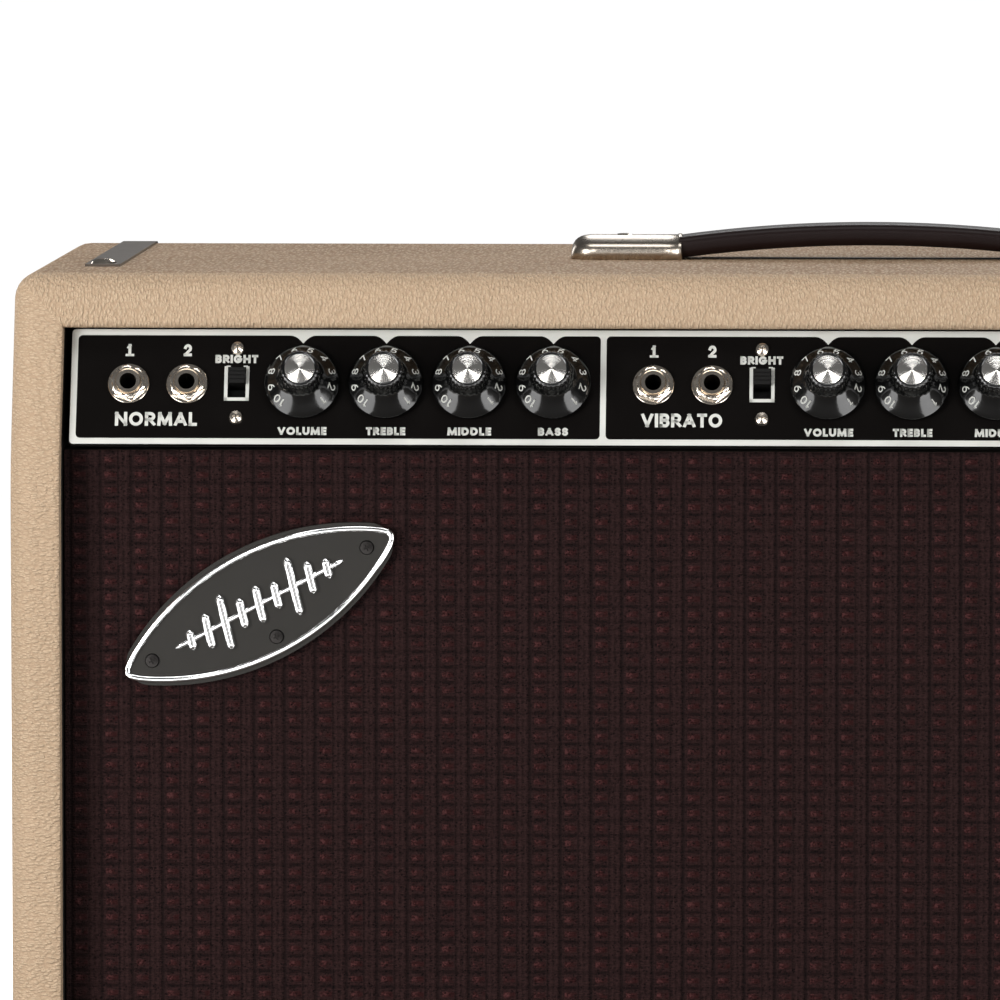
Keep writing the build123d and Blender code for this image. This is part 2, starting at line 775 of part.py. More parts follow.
def chassis_strap():
    """Flat steel strap lying on the top and bent down over its rear edge."""
    def band(grow):
        """What the top board's rear corner fills, grown outwards."""
        low = top_z - chassis_strap_fall
        start = strap_start_y if grow else strap_start_y - 1
        radius = corner_radius + grow
        y = rear_y + grow
        z = top_z + grow
        bend = (y - radius + radius * sin(radians(45)), z - radius + radius * sin(radians(45)))
        return make_face([
            Line((start, low), (start, z)), Line((start, z), (y - radius, z)),
            ThreePointArc((y - radius, z), bend, (y, z - radius)), Line((y, z - radius), (y, low)),
            Line((y, low), (start, low)),
        ])
    width = chassis_strap_width
    outer = extrude(Plane.YZ * band(chassis_strap_thickness), width / 2, both=True)
    inner = extrude(Plane.YZ * band(0), width, both=True)
    strap = Pos(strap_x, 0, 0) * (outer - inner)
    for hole in shank_holes():
        strap -= hole
    return strap


def oval_screw(seat, radius, height):
    """Oval-head screw whose head sits at the seat height, its shank running down into the board."""
    head = turned([(0, 0), (radius, 0), (radius - 0.4, height * 0.4), (radius * 0.6, height * 0.8), (0, height)])
    cross = Box(radius * 0.9, 0.9, 1.4) + Box(0.9, radius * 0.9, 1.4)
    head -= Pos(0, 0, height) * cross
    return Pos(0, 0, seat) * head + post(oval_shank_radius, -shank, seat)


def oval_screws():
    handle = oval_screw(handle_cap_crown - handle_head_sunk, handle_head_radius, handle_head_height)
    strap = oval_screw(chassis_strap_thickness, oval_head_radius, oval_head_height)
    screws = [Pos(x, y, top_z) * (strap if seat == chassis_strap_thickness else handle)
              for x, y, seat in top_screw_places]
    return group(*screws, *[place * strap for place in rear_screw_places])


# Badge

badge_turn = radians(badge_tilt)
badge_plane = Plane(
    origin=(-half_width + badge_from_side, cloth_front_y, top_z - badge_drop),
    x_dir=(cos(badge_turn), 0, sin(badge_turn)),
    z_dir=(0, -1, 0),
)
badge_screw_places = [
    (-badge_length / 2 + badge_screw_inset, 0),
    (badge_length / 2 - badge_screw_inset, 0),
    (0, -badge_width / 2 + 8.5),
]


def leaf(length, width):
    half, rise = length / 2, width / 2
    upper = ThreePointArc((-half, 0), (0, rise), (half, 0))
    lower = ThreePointArc((half, 0), (0, -rise), (-half, 0))
    outline = make_face([upper, lower])
    return fillet(outline.vertices(), width * 0.2)


def badge():
    plate = extrude(leaf(badge_length, badge_width), badge_thickness)
    rim = leaf(badge_length - 5, badge_width - 3.4)
    rim -= leaf(badge_length - 5 - 2 * badge_rim_width, badge_width - 3.4 - 1.5 * badge_rim_width)
    count = len(badge_bar_heights)
    span = badge_bar_spacing * (count - 1)
    ornament = extrude(SlotOverall(span + 14, badge_rail_width), badge_bar_relief - 0.6)
    for i, height in enumerate(badge_bar_heights):
        bar = extrude(SlotOverall(height, badge_bar_width, rotation=90), badge_bar_relief)
        ornament += Pos((i - (count - 1) / 2) * badge_bar_spacing, 0, 0) * Rot(0, 0, -badge_bar_slant) * bar
    screw = turned([(0, 0), (badge_head_radius, 0), (badge_head_radius - 0.4, 0.8), (0, 1.2)])
    screw += post(badge_screw_radius, -8, 0)
    screw -= Pos(0, 0, 1.0) * (Box(2.6, 0.6, 1.0) + Box(0.6, 2.6, 1.0))
    screws = []
    for x, y in badge_screw_places:
        hole = Pos(x, y, 0) * post(badge_screw_radius, -1, badge_thickness + 3)
        plate -= hole
        screws.append(at(badge_plane, x, y, badge_thickness) * screw)
    raised = badge_plane.location * Pos(0, 0, badge_thickness)
    ring = extrude(rim, badge_rim_relief)
    return {"badge_plate": badge_plane.location * plate, "badge_ornament": group(raised * ornament, raised * ring),
            "badge_screws": group(*screws)}


# Assembly

parts = {}
parts.update(cabinet_boards())
parts["feet"] = feet()
parts["faceplate"] = faceplate()
for name, x in knob_places():
    parts[name + "_knob"] = at(panel, x, knob_row) * knob()
parts["potentiometers"] = group(*[at(panel, x, knob_row) * potentiometer() for name, x in knob_places()])
parts["input_jacks"] = group(*[at(panel, x, jack_row) * input_jack() for x in jack_places()])
jack_nuts = [at(panel, x, jack_row) * nut_and_washer(jack_radius) for x in jack_places()]
pot_nuts = [at(panel, x, knob_row) * nut_and_washer(bushing_radius) for name, x in knob_places()]
jack_nuts += [on_rear(x, nut_and_washer(jack_radius)) for x in rear_jack_places]
parts["nuts_and_washers"] = group(*jack_nuts, *pot_nuts)
for channel, x in zip(("normal", "vibrato"), switch_places()):
    parts[channel + "_bright_slider"] = at(panel, x, switch_row) * slider()
parts["slide_switch_bodies"] = group(
    *[at(panel, x, switch_row) * slide_switch_body() for x in switch_places()])
parts["panel_screws"] = group(*[at(panel, x, y) * panel_screw() for x, y in panel_screw_places])
parts["pilot_bezel"] = at(panel, pilot_x, knob_row) * (
    tube(pilot_radius, pilot_radius - 1.2, wall_back - 10, 0)
    + tube(pilot_bezel_radius, pilot_radius - 1.2, 0, 3.5))
parts["pilot_jewel"] = at(panel, pilot_x, knob_row) * turned([
    (0, 0), (pilot_radius - 1.2, 0), (pilot_radius - 1.2, 3.8), (pilot_radius - 3.6, 8.0), (0, 9.6)])
parts["chassis"] = chassis()
parts["circuit_board"] = circuit_board()
parts["rear_jacks"] = rear_jacks()
parts["phono_sockets"] = phono_sockets()
parts["ac_inlet"] = ac_inlet()
parts["fuse_holder"] = fuse_holder()
parts["toggle_bushings"] = toggle_bushings()
for name, x in toggle_places.items():
    parts[name + "_toggle"] = on_rear(x, toggle_lever())
parts.update(tubes())
parts["transformers"] = transformers()
parts["baffle_board"] = baffle()
parts["grille_cloth"] = grille_cloth()
parts["speaker_baskets"] = both_speakers(basket())
parts["speaker_suspensions"] = both_speakers(suspension())
parts["speaker_magnets"] = both_speakers(magnet())
for name, side in (("left", -1), ("right", 1)):
    parts["speaker_cone_" + name] = speaker_frame(side).location * cone()
upper_panel, lower_panel, back_screws, back_cut = back_panels()
parts["upper_back_panel"] = upper_panel
parts["lower_back_panel"] = lower_panel
parts["black_screws_and_bolts"] = group(back_screws, both_speakers(speaker_bolts()))
parts["cleats"] = cleats(back_cut)
parts["reverb_tank"] = reverb_tank()
parts["handle_caps"] = group(handle_cap(), mirrored(handle_cap()))
parts["handle_tongues"] = group(handle_tongue(), mirrored(handle_tongue()))
parts["handle_strap"] = handle_strap()
parts["handle_rub_strip"] = rub_strip()
parts["chassis_straps"] = group(chassis_strap(), mirrored(chassis_strap()))
parts["oval_head_screws"] = oval_screws()
parts.update(badge())

for node, shape in parts.items():
    export_step(shape, "parts/" + node + ".step")
print(len(parts), "nodes")
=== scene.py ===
import json
import math
from math import cos, hypot, pi, radians, sin, tan

import bmesh
import bpy
from mathutils import Matrix, Vector

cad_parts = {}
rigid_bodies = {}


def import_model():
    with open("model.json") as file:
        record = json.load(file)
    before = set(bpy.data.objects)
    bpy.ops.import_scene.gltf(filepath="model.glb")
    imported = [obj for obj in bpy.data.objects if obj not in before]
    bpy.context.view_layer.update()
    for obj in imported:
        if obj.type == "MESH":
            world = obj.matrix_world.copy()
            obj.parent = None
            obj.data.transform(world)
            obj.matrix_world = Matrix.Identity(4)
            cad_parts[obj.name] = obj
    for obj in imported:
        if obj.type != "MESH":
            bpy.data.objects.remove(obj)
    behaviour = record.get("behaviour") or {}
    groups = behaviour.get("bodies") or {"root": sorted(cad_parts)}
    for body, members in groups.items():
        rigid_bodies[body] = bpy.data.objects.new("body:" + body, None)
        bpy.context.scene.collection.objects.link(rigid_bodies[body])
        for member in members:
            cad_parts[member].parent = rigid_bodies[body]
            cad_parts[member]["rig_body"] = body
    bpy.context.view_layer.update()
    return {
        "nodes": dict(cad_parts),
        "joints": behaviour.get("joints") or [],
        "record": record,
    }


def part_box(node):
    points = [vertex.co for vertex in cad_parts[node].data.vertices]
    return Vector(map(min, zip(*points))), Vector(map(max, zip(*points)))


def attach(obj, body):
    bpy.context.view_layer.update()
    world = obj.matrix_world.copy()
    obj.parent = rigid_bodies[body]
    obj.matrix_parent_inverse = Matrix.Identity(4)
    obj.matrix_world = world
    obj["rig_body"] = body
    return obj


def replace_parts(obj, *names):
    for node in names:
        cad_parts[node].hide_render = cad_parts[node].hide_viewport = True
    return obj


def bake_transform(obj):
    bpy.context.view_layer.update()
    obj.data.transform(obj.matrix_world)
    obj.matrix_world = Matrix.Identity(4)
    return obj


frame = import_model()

MM = 0.001
scene = bpy.context.scene
nodes = frame["nodes"]
mounts = {mount["name"]: mount for mount in frame["record"]["mounts"]}

# The cabinet's own measures, from the frame

side_low, side_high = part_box("cabinet_side_left")
half_width = -side_low.x
front_y, rear_y = side_low.y, side_high.y
foot_z, top_z = side_low.z, side_high.z
board = side_high.x - side_low.x
inner_half = half_width - board
knee_z = top_z - 75 * MM
front_slope = tan(radians(18.5))

# Node sheets


class Value:
    """One socket of a material's node sheet. Arithmetic on it adds Math nodes."""

    def __init__(self, sheet, socket):
        self.sheet = sheet
        self.socket = socket

    def out(self, name):
        return Value(self.sheet, self.socket.node.outputs[name])

    def math(self, operation, *others):
        return self.sheet.node("ShaderNodeMath", {"operation": operation}, self, *others)

    def __add__(self, other):
        return self.math("ADD", other)

    def __sub__(self, other):
        return self.math("SUBTRACT", other)

    def __mul__(self, other):
        return self.math("MULTIPLY", other)

    def __truediv__(self, other):
        return self.math("DIVIDE", other)

    def __rsub__(self, other):
        return self.sheet.node("ShaderNodeMath", {"operation": "SUBTRACT"}, other, self)

    __radd__ = __add__
    __rmul__ = __mul__

    def part(self):
        return self.math("FRACT")

    def size(self):
        return self.math("ABSOLUTE")

    def most(self, other):
        return self.math("MAXIMUM", other)

    def wave(self):
        return self.math("SINE")

    def power(self, other):
        return self.math("POWER", other)

    def ramp(self, low, high, start=0.0, end=1.0):
        """Start below low, end above high, smooth between them."""
        settings = {"interpolation_type": "SMOOTHSTEP"}
        return self.sheet.node("ShaderNodeMapRange", settings, self, low, high, start, end)


def linear(*srgb):
    """A colour given as 0 to 255 display values, as Blender's linear numbers."""
    steps = [c / 255 for c in srgb]
    return tuple(c / 12.92 if c <= 0.04045 else ((c + 0.055) / 1.055) ** 2.4 for c in steps) + (1.0,)


class Finish:
    """A material under construction: one Principled shader and the nodes that feed it."""

    def __init__(self, name, **sockets):
        self.material = bpy.data.materials.new(name)
        self.material.use_nodes = True
        self.tree = self.material.node_tree
        self.shader = self.tree.nodes["Principled BSDF"]
        self.set(**sockets)

    def set(self, **sockets):
        """Constants and links for the shader, under the sockets' own names with _ for a space."""
        for name, value in sockets.items():
            self.put(self.shader.inputs[name.replace("_", " ")], value)
        return self.material

    def put(self, socket, value):
        if isinstance(value, Value):
            self.tree.links.new(value.socket, socket)
        elif isinstance(value, (tuple, list)) and socket.type == "VECTOR":
            socket.default_value = value[:3]
        else:
            socket.default_value = value

    def node(self, kind, settings=None, *inputs, **named):
        made = self.tree.nodes.new(kind)
        for name, value in (settings or {}).items():
            if name == "stops":
                for place, colour in value[:-2]:
                    made.color_ramp.elements.new(place)
                for element, (place, colour) in zip(made.color_ramp.elements, value):
                    element.position = place
                    element.color = colour
            else:
                setattr(made, name, value)
        for socket, value in zip(made.inputs, inputs):
            self.put(socket, value)
        for name, value in named.items():
            self.put(made.inputs[name.replace("_", " ")], value)
        return Value(self, next(output for output in made.outputs if output.enabled))

    def place(self, kind="Object"):
        return self.node("ShaderNodeTexCoord").out(kind)

    def grain_map(self):
        return self.node("ShaderNodeUVMap", {"uv_map": "grain"})

    def axes(self, where):
        split = self.node("ShaderNodeSeparateXYZ", None, where)
        return split.out("X"), split.out("Y"), split.out("Z")

    def vector(self, x, y, z):
        return self.node("ShaderNodeCombineXYZ", None, x, y, z)

    def stretch(self, where, x, y, z):
        return self.node("ShaderNodeVectorMath", {"operation": "MULTIPLY"}, where, (x, y, z))

    def nudge(self, where, offset, amount):
        """where, moved by a colour-valued noise."""
        scaled = self.node("ShaderNodeVectorMath", {"operation": "MULTIPLY"}, offset, (amount,) * 3)
        return self.node("ShaderNodeVectorMath", {"operation": "ADD"}, where, scaled)

    def noise(self, where, scale, detail=2.0, roughness=0.5):
        return self.node("ShaderNodeTexNoise", None, Vector=where, Scale=scale, Detail=detail,
                         Roughness=roughness)

    def cells(self, where, scale, feature="F1", randomness=1.0):
        return self.node("ShaderNodeTexVoronoi", {"feature": feature}, Vector=where, Scale=scale,
                         Randomness=randomness)

    def blend(self, factor, first, second, kind="MIX"):
        made = self.tree.nodes.new("ShaderNodeMix")
        made.data_type = "RGBA"
        made.blend_type = kind
        for socket, value in ((made.inputs[0], factor), (made.inputs[6], first), (made.inputs[7], second)):
            self.put(socket, value)
        return Value(self, made.outputs[2])

    def bump(self, height, distance, strength=1.0):
        return self.node("ShaderNodeBump", None, Height=height, Distance=distance, Strength=strength)


# Materials


def vinyl_finish(name, long=0.45, deep=1.0, scale=1000):
    """Blonde covering: fine stretched pebbles that run across each board's edge, with a painted highlight on
    the pebble tops and painted shade in the creases and folds, made deeper by the third argument.
    """
    m = Finish(name, Specular_IOR_Level=0.1)
    grain = m.grain_map()
    bend = m.noise(grain, 420, 2).out("Color")
    along = m.nudge(m.stretch(grain, 1.0, long, 1.0), bend, 0.0011)
    pebble = m.cells(along, scale, "SMOOTH_F1").ramp(0.12, 0.7, 1.0, 0.0)
    crease = m.cells(along, scale, "DISTANCE_TO_EDGE").ramp(0.0, 0.25, 1.0, 0.0)
    fine = m.noise(m.stretch(grain, 1.0, 0.6, 1.0), 2600, 3, 0.6)
    folds = m.noise(m.stretch(grain, 1.0, long, 1.0), scale * 0.7, 2, 0.55)
    height = pebble * 0.9 + fine * 0.15 + folds * 0.45 - crease * 0.25
    drift = m.noise(grain, 9, 2).ramp(0.3, 0.7)
    # Lighter pebble tops and folds are a painted highlight; the crease and fold darkening below is painted
    # shade.
    colour = m.blend(pebble * 0.6 + folds * 0.3, linear(184, 158, 131), linear(208, 184, 156))
    colour = m.blend(crease * 0.35 * deep, colour, linear(150, 122, 95))
    colour = m.blend(folds.ramp(0.5, 0.62) * (0.45 * deep - 0.45), colour, linear(150, 114, 84))
    colour = m.blend(drift * 0.25, colour, linear(200, 173, 145))
    return m.set(Base_Color=colour, Roughness=0.68 - pebble * 0.1, Normal=m.bump(height, 0.00048, 1.0))


def cloth_finish():
    """Oxblood woven grille cloth: ribbed columns with rows of red flecks."""
    m = Finish("oxblood_cloth", Roughness=0.9, Specular_IOR_Level=0.06)
    where = m.place()
    shake = m.noise(where, 700, 2).out("Color")
    x, y, z = m.axes(m.nudge(where, shake, 0.0006))
    column = (x / 0.0121).part()
    row = (z / 0.00605).part()
    seam = (column - 0.5).size().ramp(0.42, 0.49)
    inner_seam = (column - 0.56).size().ramp(0.015, 0.05, 1.0, 0.0)
    flecked = column.ramp(0.1, 0.16) * column.ramp(0.48, 0.56, 1.0, 0.0)
    ribs = ((x * (2 * pi / 0.00202)).wave() * 0.5 + 0.5) * (1 - flecked)
    weft = (z * (2 * pi / 0.00101)).wave() * 0.5 + 0.5
    threads = m.noise(m.stretch(where, 0.6, 1, 1.8), 1300, 2, 0.7)
    warp = m.noise(m.stretch(where, 2.2, 1, 0.5), 1000, 2, 0.6)
    pits = m.cells(m.stretch(where, 0.9, 1, 1.1), 640).ramp(0.04, 0.34)
    bow = (row - 0.5).size().ramp(0.1, 0.24, 1.0, 0.0)
    patchy = m.noise(where, 330, 2).ramp(0.3, 0.55)
    fleck = bow * flecked * patchy
    pale = fleck * column.ramp(0.26, 0.4, 1.0, 0.0) * m.noise(where, 1300, 1).ramp(0.42, 0.6)
    haze = flecked * m.noise(where, 800, 2, 0.7).ramp(0.45, 0.7)
    base = m.blend(threads.ramp(0.3, 0.7), linear(23, 13, 13), linear(60, 41, 40))
    base = m.blend(ribs * 0.3 + warp.ramp(0.4, 0.7) * 0.3, base, linear(68, 49, 47))
    base = m.blend(haze * 0.4, base, linear(66, 38, 38))
    base = m.blend(fleck * 0.5, base, linear(60, 22, 22))
    base = m.blend(pale * 0.5, base, linear(120, 78, 77))
    base = m.blend(seam.most(inner_seam * 0.6) * 0.6, base, linear(12, 6, 7))
    rows = (row - 0.5).size().ramp(0.3, 0.48) * (flecked * 0.4 + 0.25)
    base = m.blend(rows, base, linear(12, 6, 7))
    base = m.blend((1 - pits) * 0.75, base, linear(10, 5, 6))
    base = m.blend(1.0, base, (0.6, 0.53, 0.54, 1.0), "MULTIPLY")
    height = threads * 0.5 + ribs * 0.35 + weft * 0.15 + pits * 0.6 - seam * 0.9 + fleck * 0.4
    return m.set(Base_Color=base, Normal=m.bump(height, 0.0008, 0.9))


def metal_finish(name, colour, roughness, smear=0.12, ripple=0.00002, anisotropic=0.0):
    """Plated or bare metal with faint handling marks."""
    m = Finish(name, Metallic=1.0, Base_Color=colour, Anisotropic=anisotropic)
    where = m.place()
    marks = m.noise(where, 90, 4, 0.6)
    fine = m.noise(where, 1400, 2, 0.5)
    shade = m.blend(marks.ramp(0.35, 0.75) * 0.25, colour, tuple(c * 0.78 for c in colour[:3]) + (1.0,))
    return m.set(Base_Color=shade, Roughness=marks * smear + (roughness - smear * 0.4),
                 Normal=m.bump(fine, ripple, 0.5))


def spun_finish():
    """Lathe-faced aluminium: fine grooves round its axis lean the surface outward by changing amounts."""
    m = Finish("spun_aluminium", Metallic=1.0, Base_Color=linear(238, 235, 230), Roughness=0.16)
    x, y, z = m.axes(m.place())
    far = (x * x + y * y).power(0.5).most(0.0002)
    face = (z - 0.0001).ramp(0.0, 0.0001)
    lean = m.noise(m.vector(far * 14000, 0.0, 0.0), 1.0, 2, 0.6).ramp(0.3, 0.7, 0.0, 0.33) * face
    up = (1 - lean * lean).power(0.5)
    to_world = {"vector_type": "NORMAL", "convert_from": "OBJECT", "convert_to": "WORLD"}
    turned = m.node("ShaderNodeVectorTransform", to_world, m.vector(x / far * lean, y / far * lean, up))
    return m.set(Normal=turned)


def plastic_finish(name, colour, roughness, grain=0.00003, scale=1500, coat=0.0, specular=0.5):
    """Moulded plastic, paint or rubber with a fine surface grain."""
    m = Finish(name, Coat_Weight=coat, Coat_Roughness=0.08, Specular_IOR_Level=specular)
    where = m.place()
    fine = m.noise(where, scale, 3, 0.6)
    wear = m.noise(where, 60, 3, 0.5)
    worn = tuple(min(1.0, c * 1.3 + 0.001) for c in colour[:3]) + (1.0,)
    shade = m.blend(wear.ramp(0.4, 0.8) * 0.3, colour, worn)
    return m.set(Base_Color=shade, Roughness=wear * 0.12 + (roughness - 0.06),
                 Normal=m.bump(fine, grain, 0.7))


def wood_finish():
    """Black stained plywood inside the cabinet."""
    m = Finish("black_board", Specular_IOR_Level=0.3)
    where = m.place()
    grain = m.noise(m.stretch(where, 6, 60, 60), 4, 4, 0.6)
    shade = m.blend(grain.ramp(0.3, 0.8), linear(20, 17, 15), linear(46, 38, 32))
    return m.set(Base_Color=shade, Roughness=0.75 - grain * 0.2, Normal=m.bump(grain, 0.0002, 0.6))


def paper_finish():
    """Pressed paper of a speaker's cone and suspension."""
    m = Finish("paper_cone", Roughness=0.85, Specular_IOR_Level=0.2)
    where = m.place()
    fibres = m.noise(where, 700, 4, 0.7)
    shade = m.blend(fibres.ramp(0.3, 0.7), linear(38, 35, 33), linear(66, 61, 57))
    return m.set(Base_Color=shade, Normal=m.bump(fibres, 0.0003, 0.7))


def glass_finish(name, colour, roughness, through=1.0):
    """Clear or tinted glass with faint clouding."""
    m = Finish(name, Base_Color=colour, Transmission_Weight=through, IOR=1.5)
    clouds = m.noise(m.place(), 40, 2)
    return m.set(Roughness=clouds * 0.06 + roughness)


vinyl = vinyl_finish("blonde_vinyl")
# The top's own copy of the covering has stretched pebbles and deeper painted shade in its creases and folds.
vinyl_top_painted_shade = vinyl_finish("blonde_vinyl_top", 0.17, 2.4, 620)
oxblood = cloth_finish()
black_board = wood_finish()
panel_black = plastic_finish("panel_black", linear(11, 9, 8), 0.5, 0.00002, 2600, specular=0.02)
print_white = plastic_finish("print_white", linear(204, 204, 198), 0.5, 0.00001, 2600, specular=0.1)
knob_black = plastic_finish("knob_black", linear(9, 9, 9), 0.14, 0.000004, 900, 0.4)
soft_black = plastic_finish("soft_black", linear(15, 14, 13), 0.5, specular=0.15)
nickel = metal_finish("nickel", linear(222, 212, 199), 0.16)
# A darker copy of nickel for the handle caps: painted shade for their dark reflections.
cap_plate = metal_finish("cap_plate", linear(176, 166, 154), 0.26)
chrome = metal_finish("bright_chrome", linear(238, 238, 238), 0.08, 0.06)
# Chrome whose base colour is darkened: a painted dark reflection, for the chassis straps.
dark_chrome = metal_finish("dark_chrome", linear(110, 102, 95), 0.3, 0.06, 0.000002)
zinc = metal_finish("zinc_plate", linear(176, 174, 166), 0.38, 0.2, 0.00004)
bare_aluminium = metal_finish("bare_aluminium", linear(196, 196, 197), 0.34, 0.15, 0.00003, 0.4)
spun_aluminium = spun_finish()
strap_rubber = plastic_finish("strap_rubber", linear(24, 13, 12), 0.4, 0.00004, 1200, specular=0.14)
foot_rubber = plastic_finish("foot_rubber", linear(24, 24, 24), 0.7, 0.0001, 800)
badge_black = plastic_finish("badge_black", linear(40, 38, 35), 0.5, 0.00003, 2000, specular=0.15)
hammered = plastic_finish("hammered_grey", linear(84, 85, 88), 0.35, 0.0004, 160, 0.2)
bell_black = plastic_finish("transformer_black", linear(26, 26, 27), 0.4, 0.0001, 500)
ferrite = plastic_finish("magnet_grey", linear(52, 53, 56), 0.5, 0.0001, 400)
tank_paint = plastic_finish("tank_grey", linear(126, 127, 128), 0.45, 0.00005, 600)
fibre = plastic_finish("fibre_board", linear(30, 26, 23), 0.7, 0.0001, 700)
black_steel = metal_finish("black_steel", linear(44, 42, 41), 0.35, 0.15)
paper = paper_finish()
jewel_red = glass_finish("jewel_red", linear(214, 22, 20), 0.05, 0.75)
bulb_glass = glass_finish("bulb_glass", linear(240, 244, 244), 0.02)

# Mesh makers


def shown(name, data):
    """A new object, put in the scene."""
    made = bpy.data.objects.new(name, data)
    scene.collection.objects.link(made)
    return made


def piece(name, points, faces, material, body="root", smooth=True, uvs=None, materials=(), pick=None):
    """A mesh object in the row frame, in metres, that rides on a body."""
    mesh = bpy.data.meshes.new(name)
    mesh.from_pydata([tuple(p) for p in points], [], faces)
    for one in (material, *materials):
        mesh.materials.append(one)
    if uvs:
        layer = mesh.uv_layers.new(name="grain")
        for loop in mesh.loops:
            layer.data[loop.index].uv = uvs[loop.vertex_index]
    if pick:
        for polygon in mesh.polygons:
            polygon.material_index = pick(polygon)
    mesh.update()
    shell = bmesh.new()
    shell.from_mesh(mesh)
    bmesh.ops.recalc_face_normals(shell, faces=shell.faces)
    shell.to_mesh(mesh)
    shell.free()
    mesh.polygons.foreach_set("use_smooth", [smooth] * len(mesh.polygons))
    made = shown(name, mesh)
    if smooth:
        mesh.set_sharp_from_angle(angle=radians(38))
    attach(made, body)
    return made


def skin(rings, closed=True, caps=True):
    """Faces between rings of equal length; closed rings, with both end rings filled if asked."""
    count = len(rings[0])
    points = [p for ring in rings for p in ring]
    faces = []
    for i in range(len(rings) - 1):
        for j in range(count if closed else count - 1):
            k = (j + 1) % count
            faces.append((i * count + j, i * count + k, (i + 1) * count + k, (i + 1) * count + j))
    if caps:
        faces.append(tuple(range(count)))
        faces.append(tuple(range((len(rings) - 1) * count, len(rings) * count)))
    return points, faces


def lathe(profile, steps=64, place=Matrix.Identity(4)):
    """A closed turned shape about local Z, from (radius, height) points."""
    rings = []
    for radius, height in profile:
        r = max(radius, 1e-6)
        rings.append([place @ Vector((r * cos(2 * pi * i / steps), r * sin(2 * pi * i / steps), height))
                      for i in range(steps)])
    return skin(rings)


def joined(*shapes):
    """Several (points, faces) shapes as one."""
    points, faces = [], []
    for some_points, some_faces in shapes:
        start = len(points)
        points += list(some_points)
        faces += [tuple(start + i for i in face) for face in some_faces]
    return points, faces


def upright(origin, normal, up):
    """Placing matrix: local Z along normal, local Y along up."""
    z = Vector(normal).normalized()
    y = Vector(up).normalized()
    x = y.cross(z)
    return Matrix.Translation(Vector(origin)) @ Matrix((x, y, z)).transposed().to_4x4()


def rounded(width, height, radius, steps=6):
    """Outline of a rounded rectangle about the origin."""
    points = []
    for corner, (sx, sy) in enumerate(((1, 1), (-1, 1), (-1, -1), (1, -1))):
        for i in range(steps + 1):
            angle = (corner + i / steps) * pi / 2
            points.append((sx * (width / 2 - radius) + radius * cos(angle),
                           sy * (height / 2 - radius) + radius * sin(angle)))
    return points


def flat(outlines, thickness, place):
    """Thin sheet filled between outlines; inner outlines are holes."""
    curve = bpy.data.curves.new("outline", "CURVE")
    curve.dimensions = "2D"
    curve.fill_mode = "BOTH"
    curve.extrude = thickness / 2
    for outline in outlines:
        spline = curve.splines.new("POLY")
        spline.points.add(len(outline) - 1)
        for point, (x, y) in zip(spline.points, outline):
            point.co = (x, y, 0, 1)
        spline.use_cyclic_u = True
    return taken(curve, place @ Matrix.Translation((0, 0, thickness / 2)))


def bend(cu, cv, ru, rv, start, end, steps=10):
    """Points of an elliptical stroke in a letter's own square."""
    return [(cu + ru * cos(radians(start + (end - start) * i / steps)),
             cv + rv * sin(radians(start + (end - start) * i / steps))) for i in range(steps + 1)]


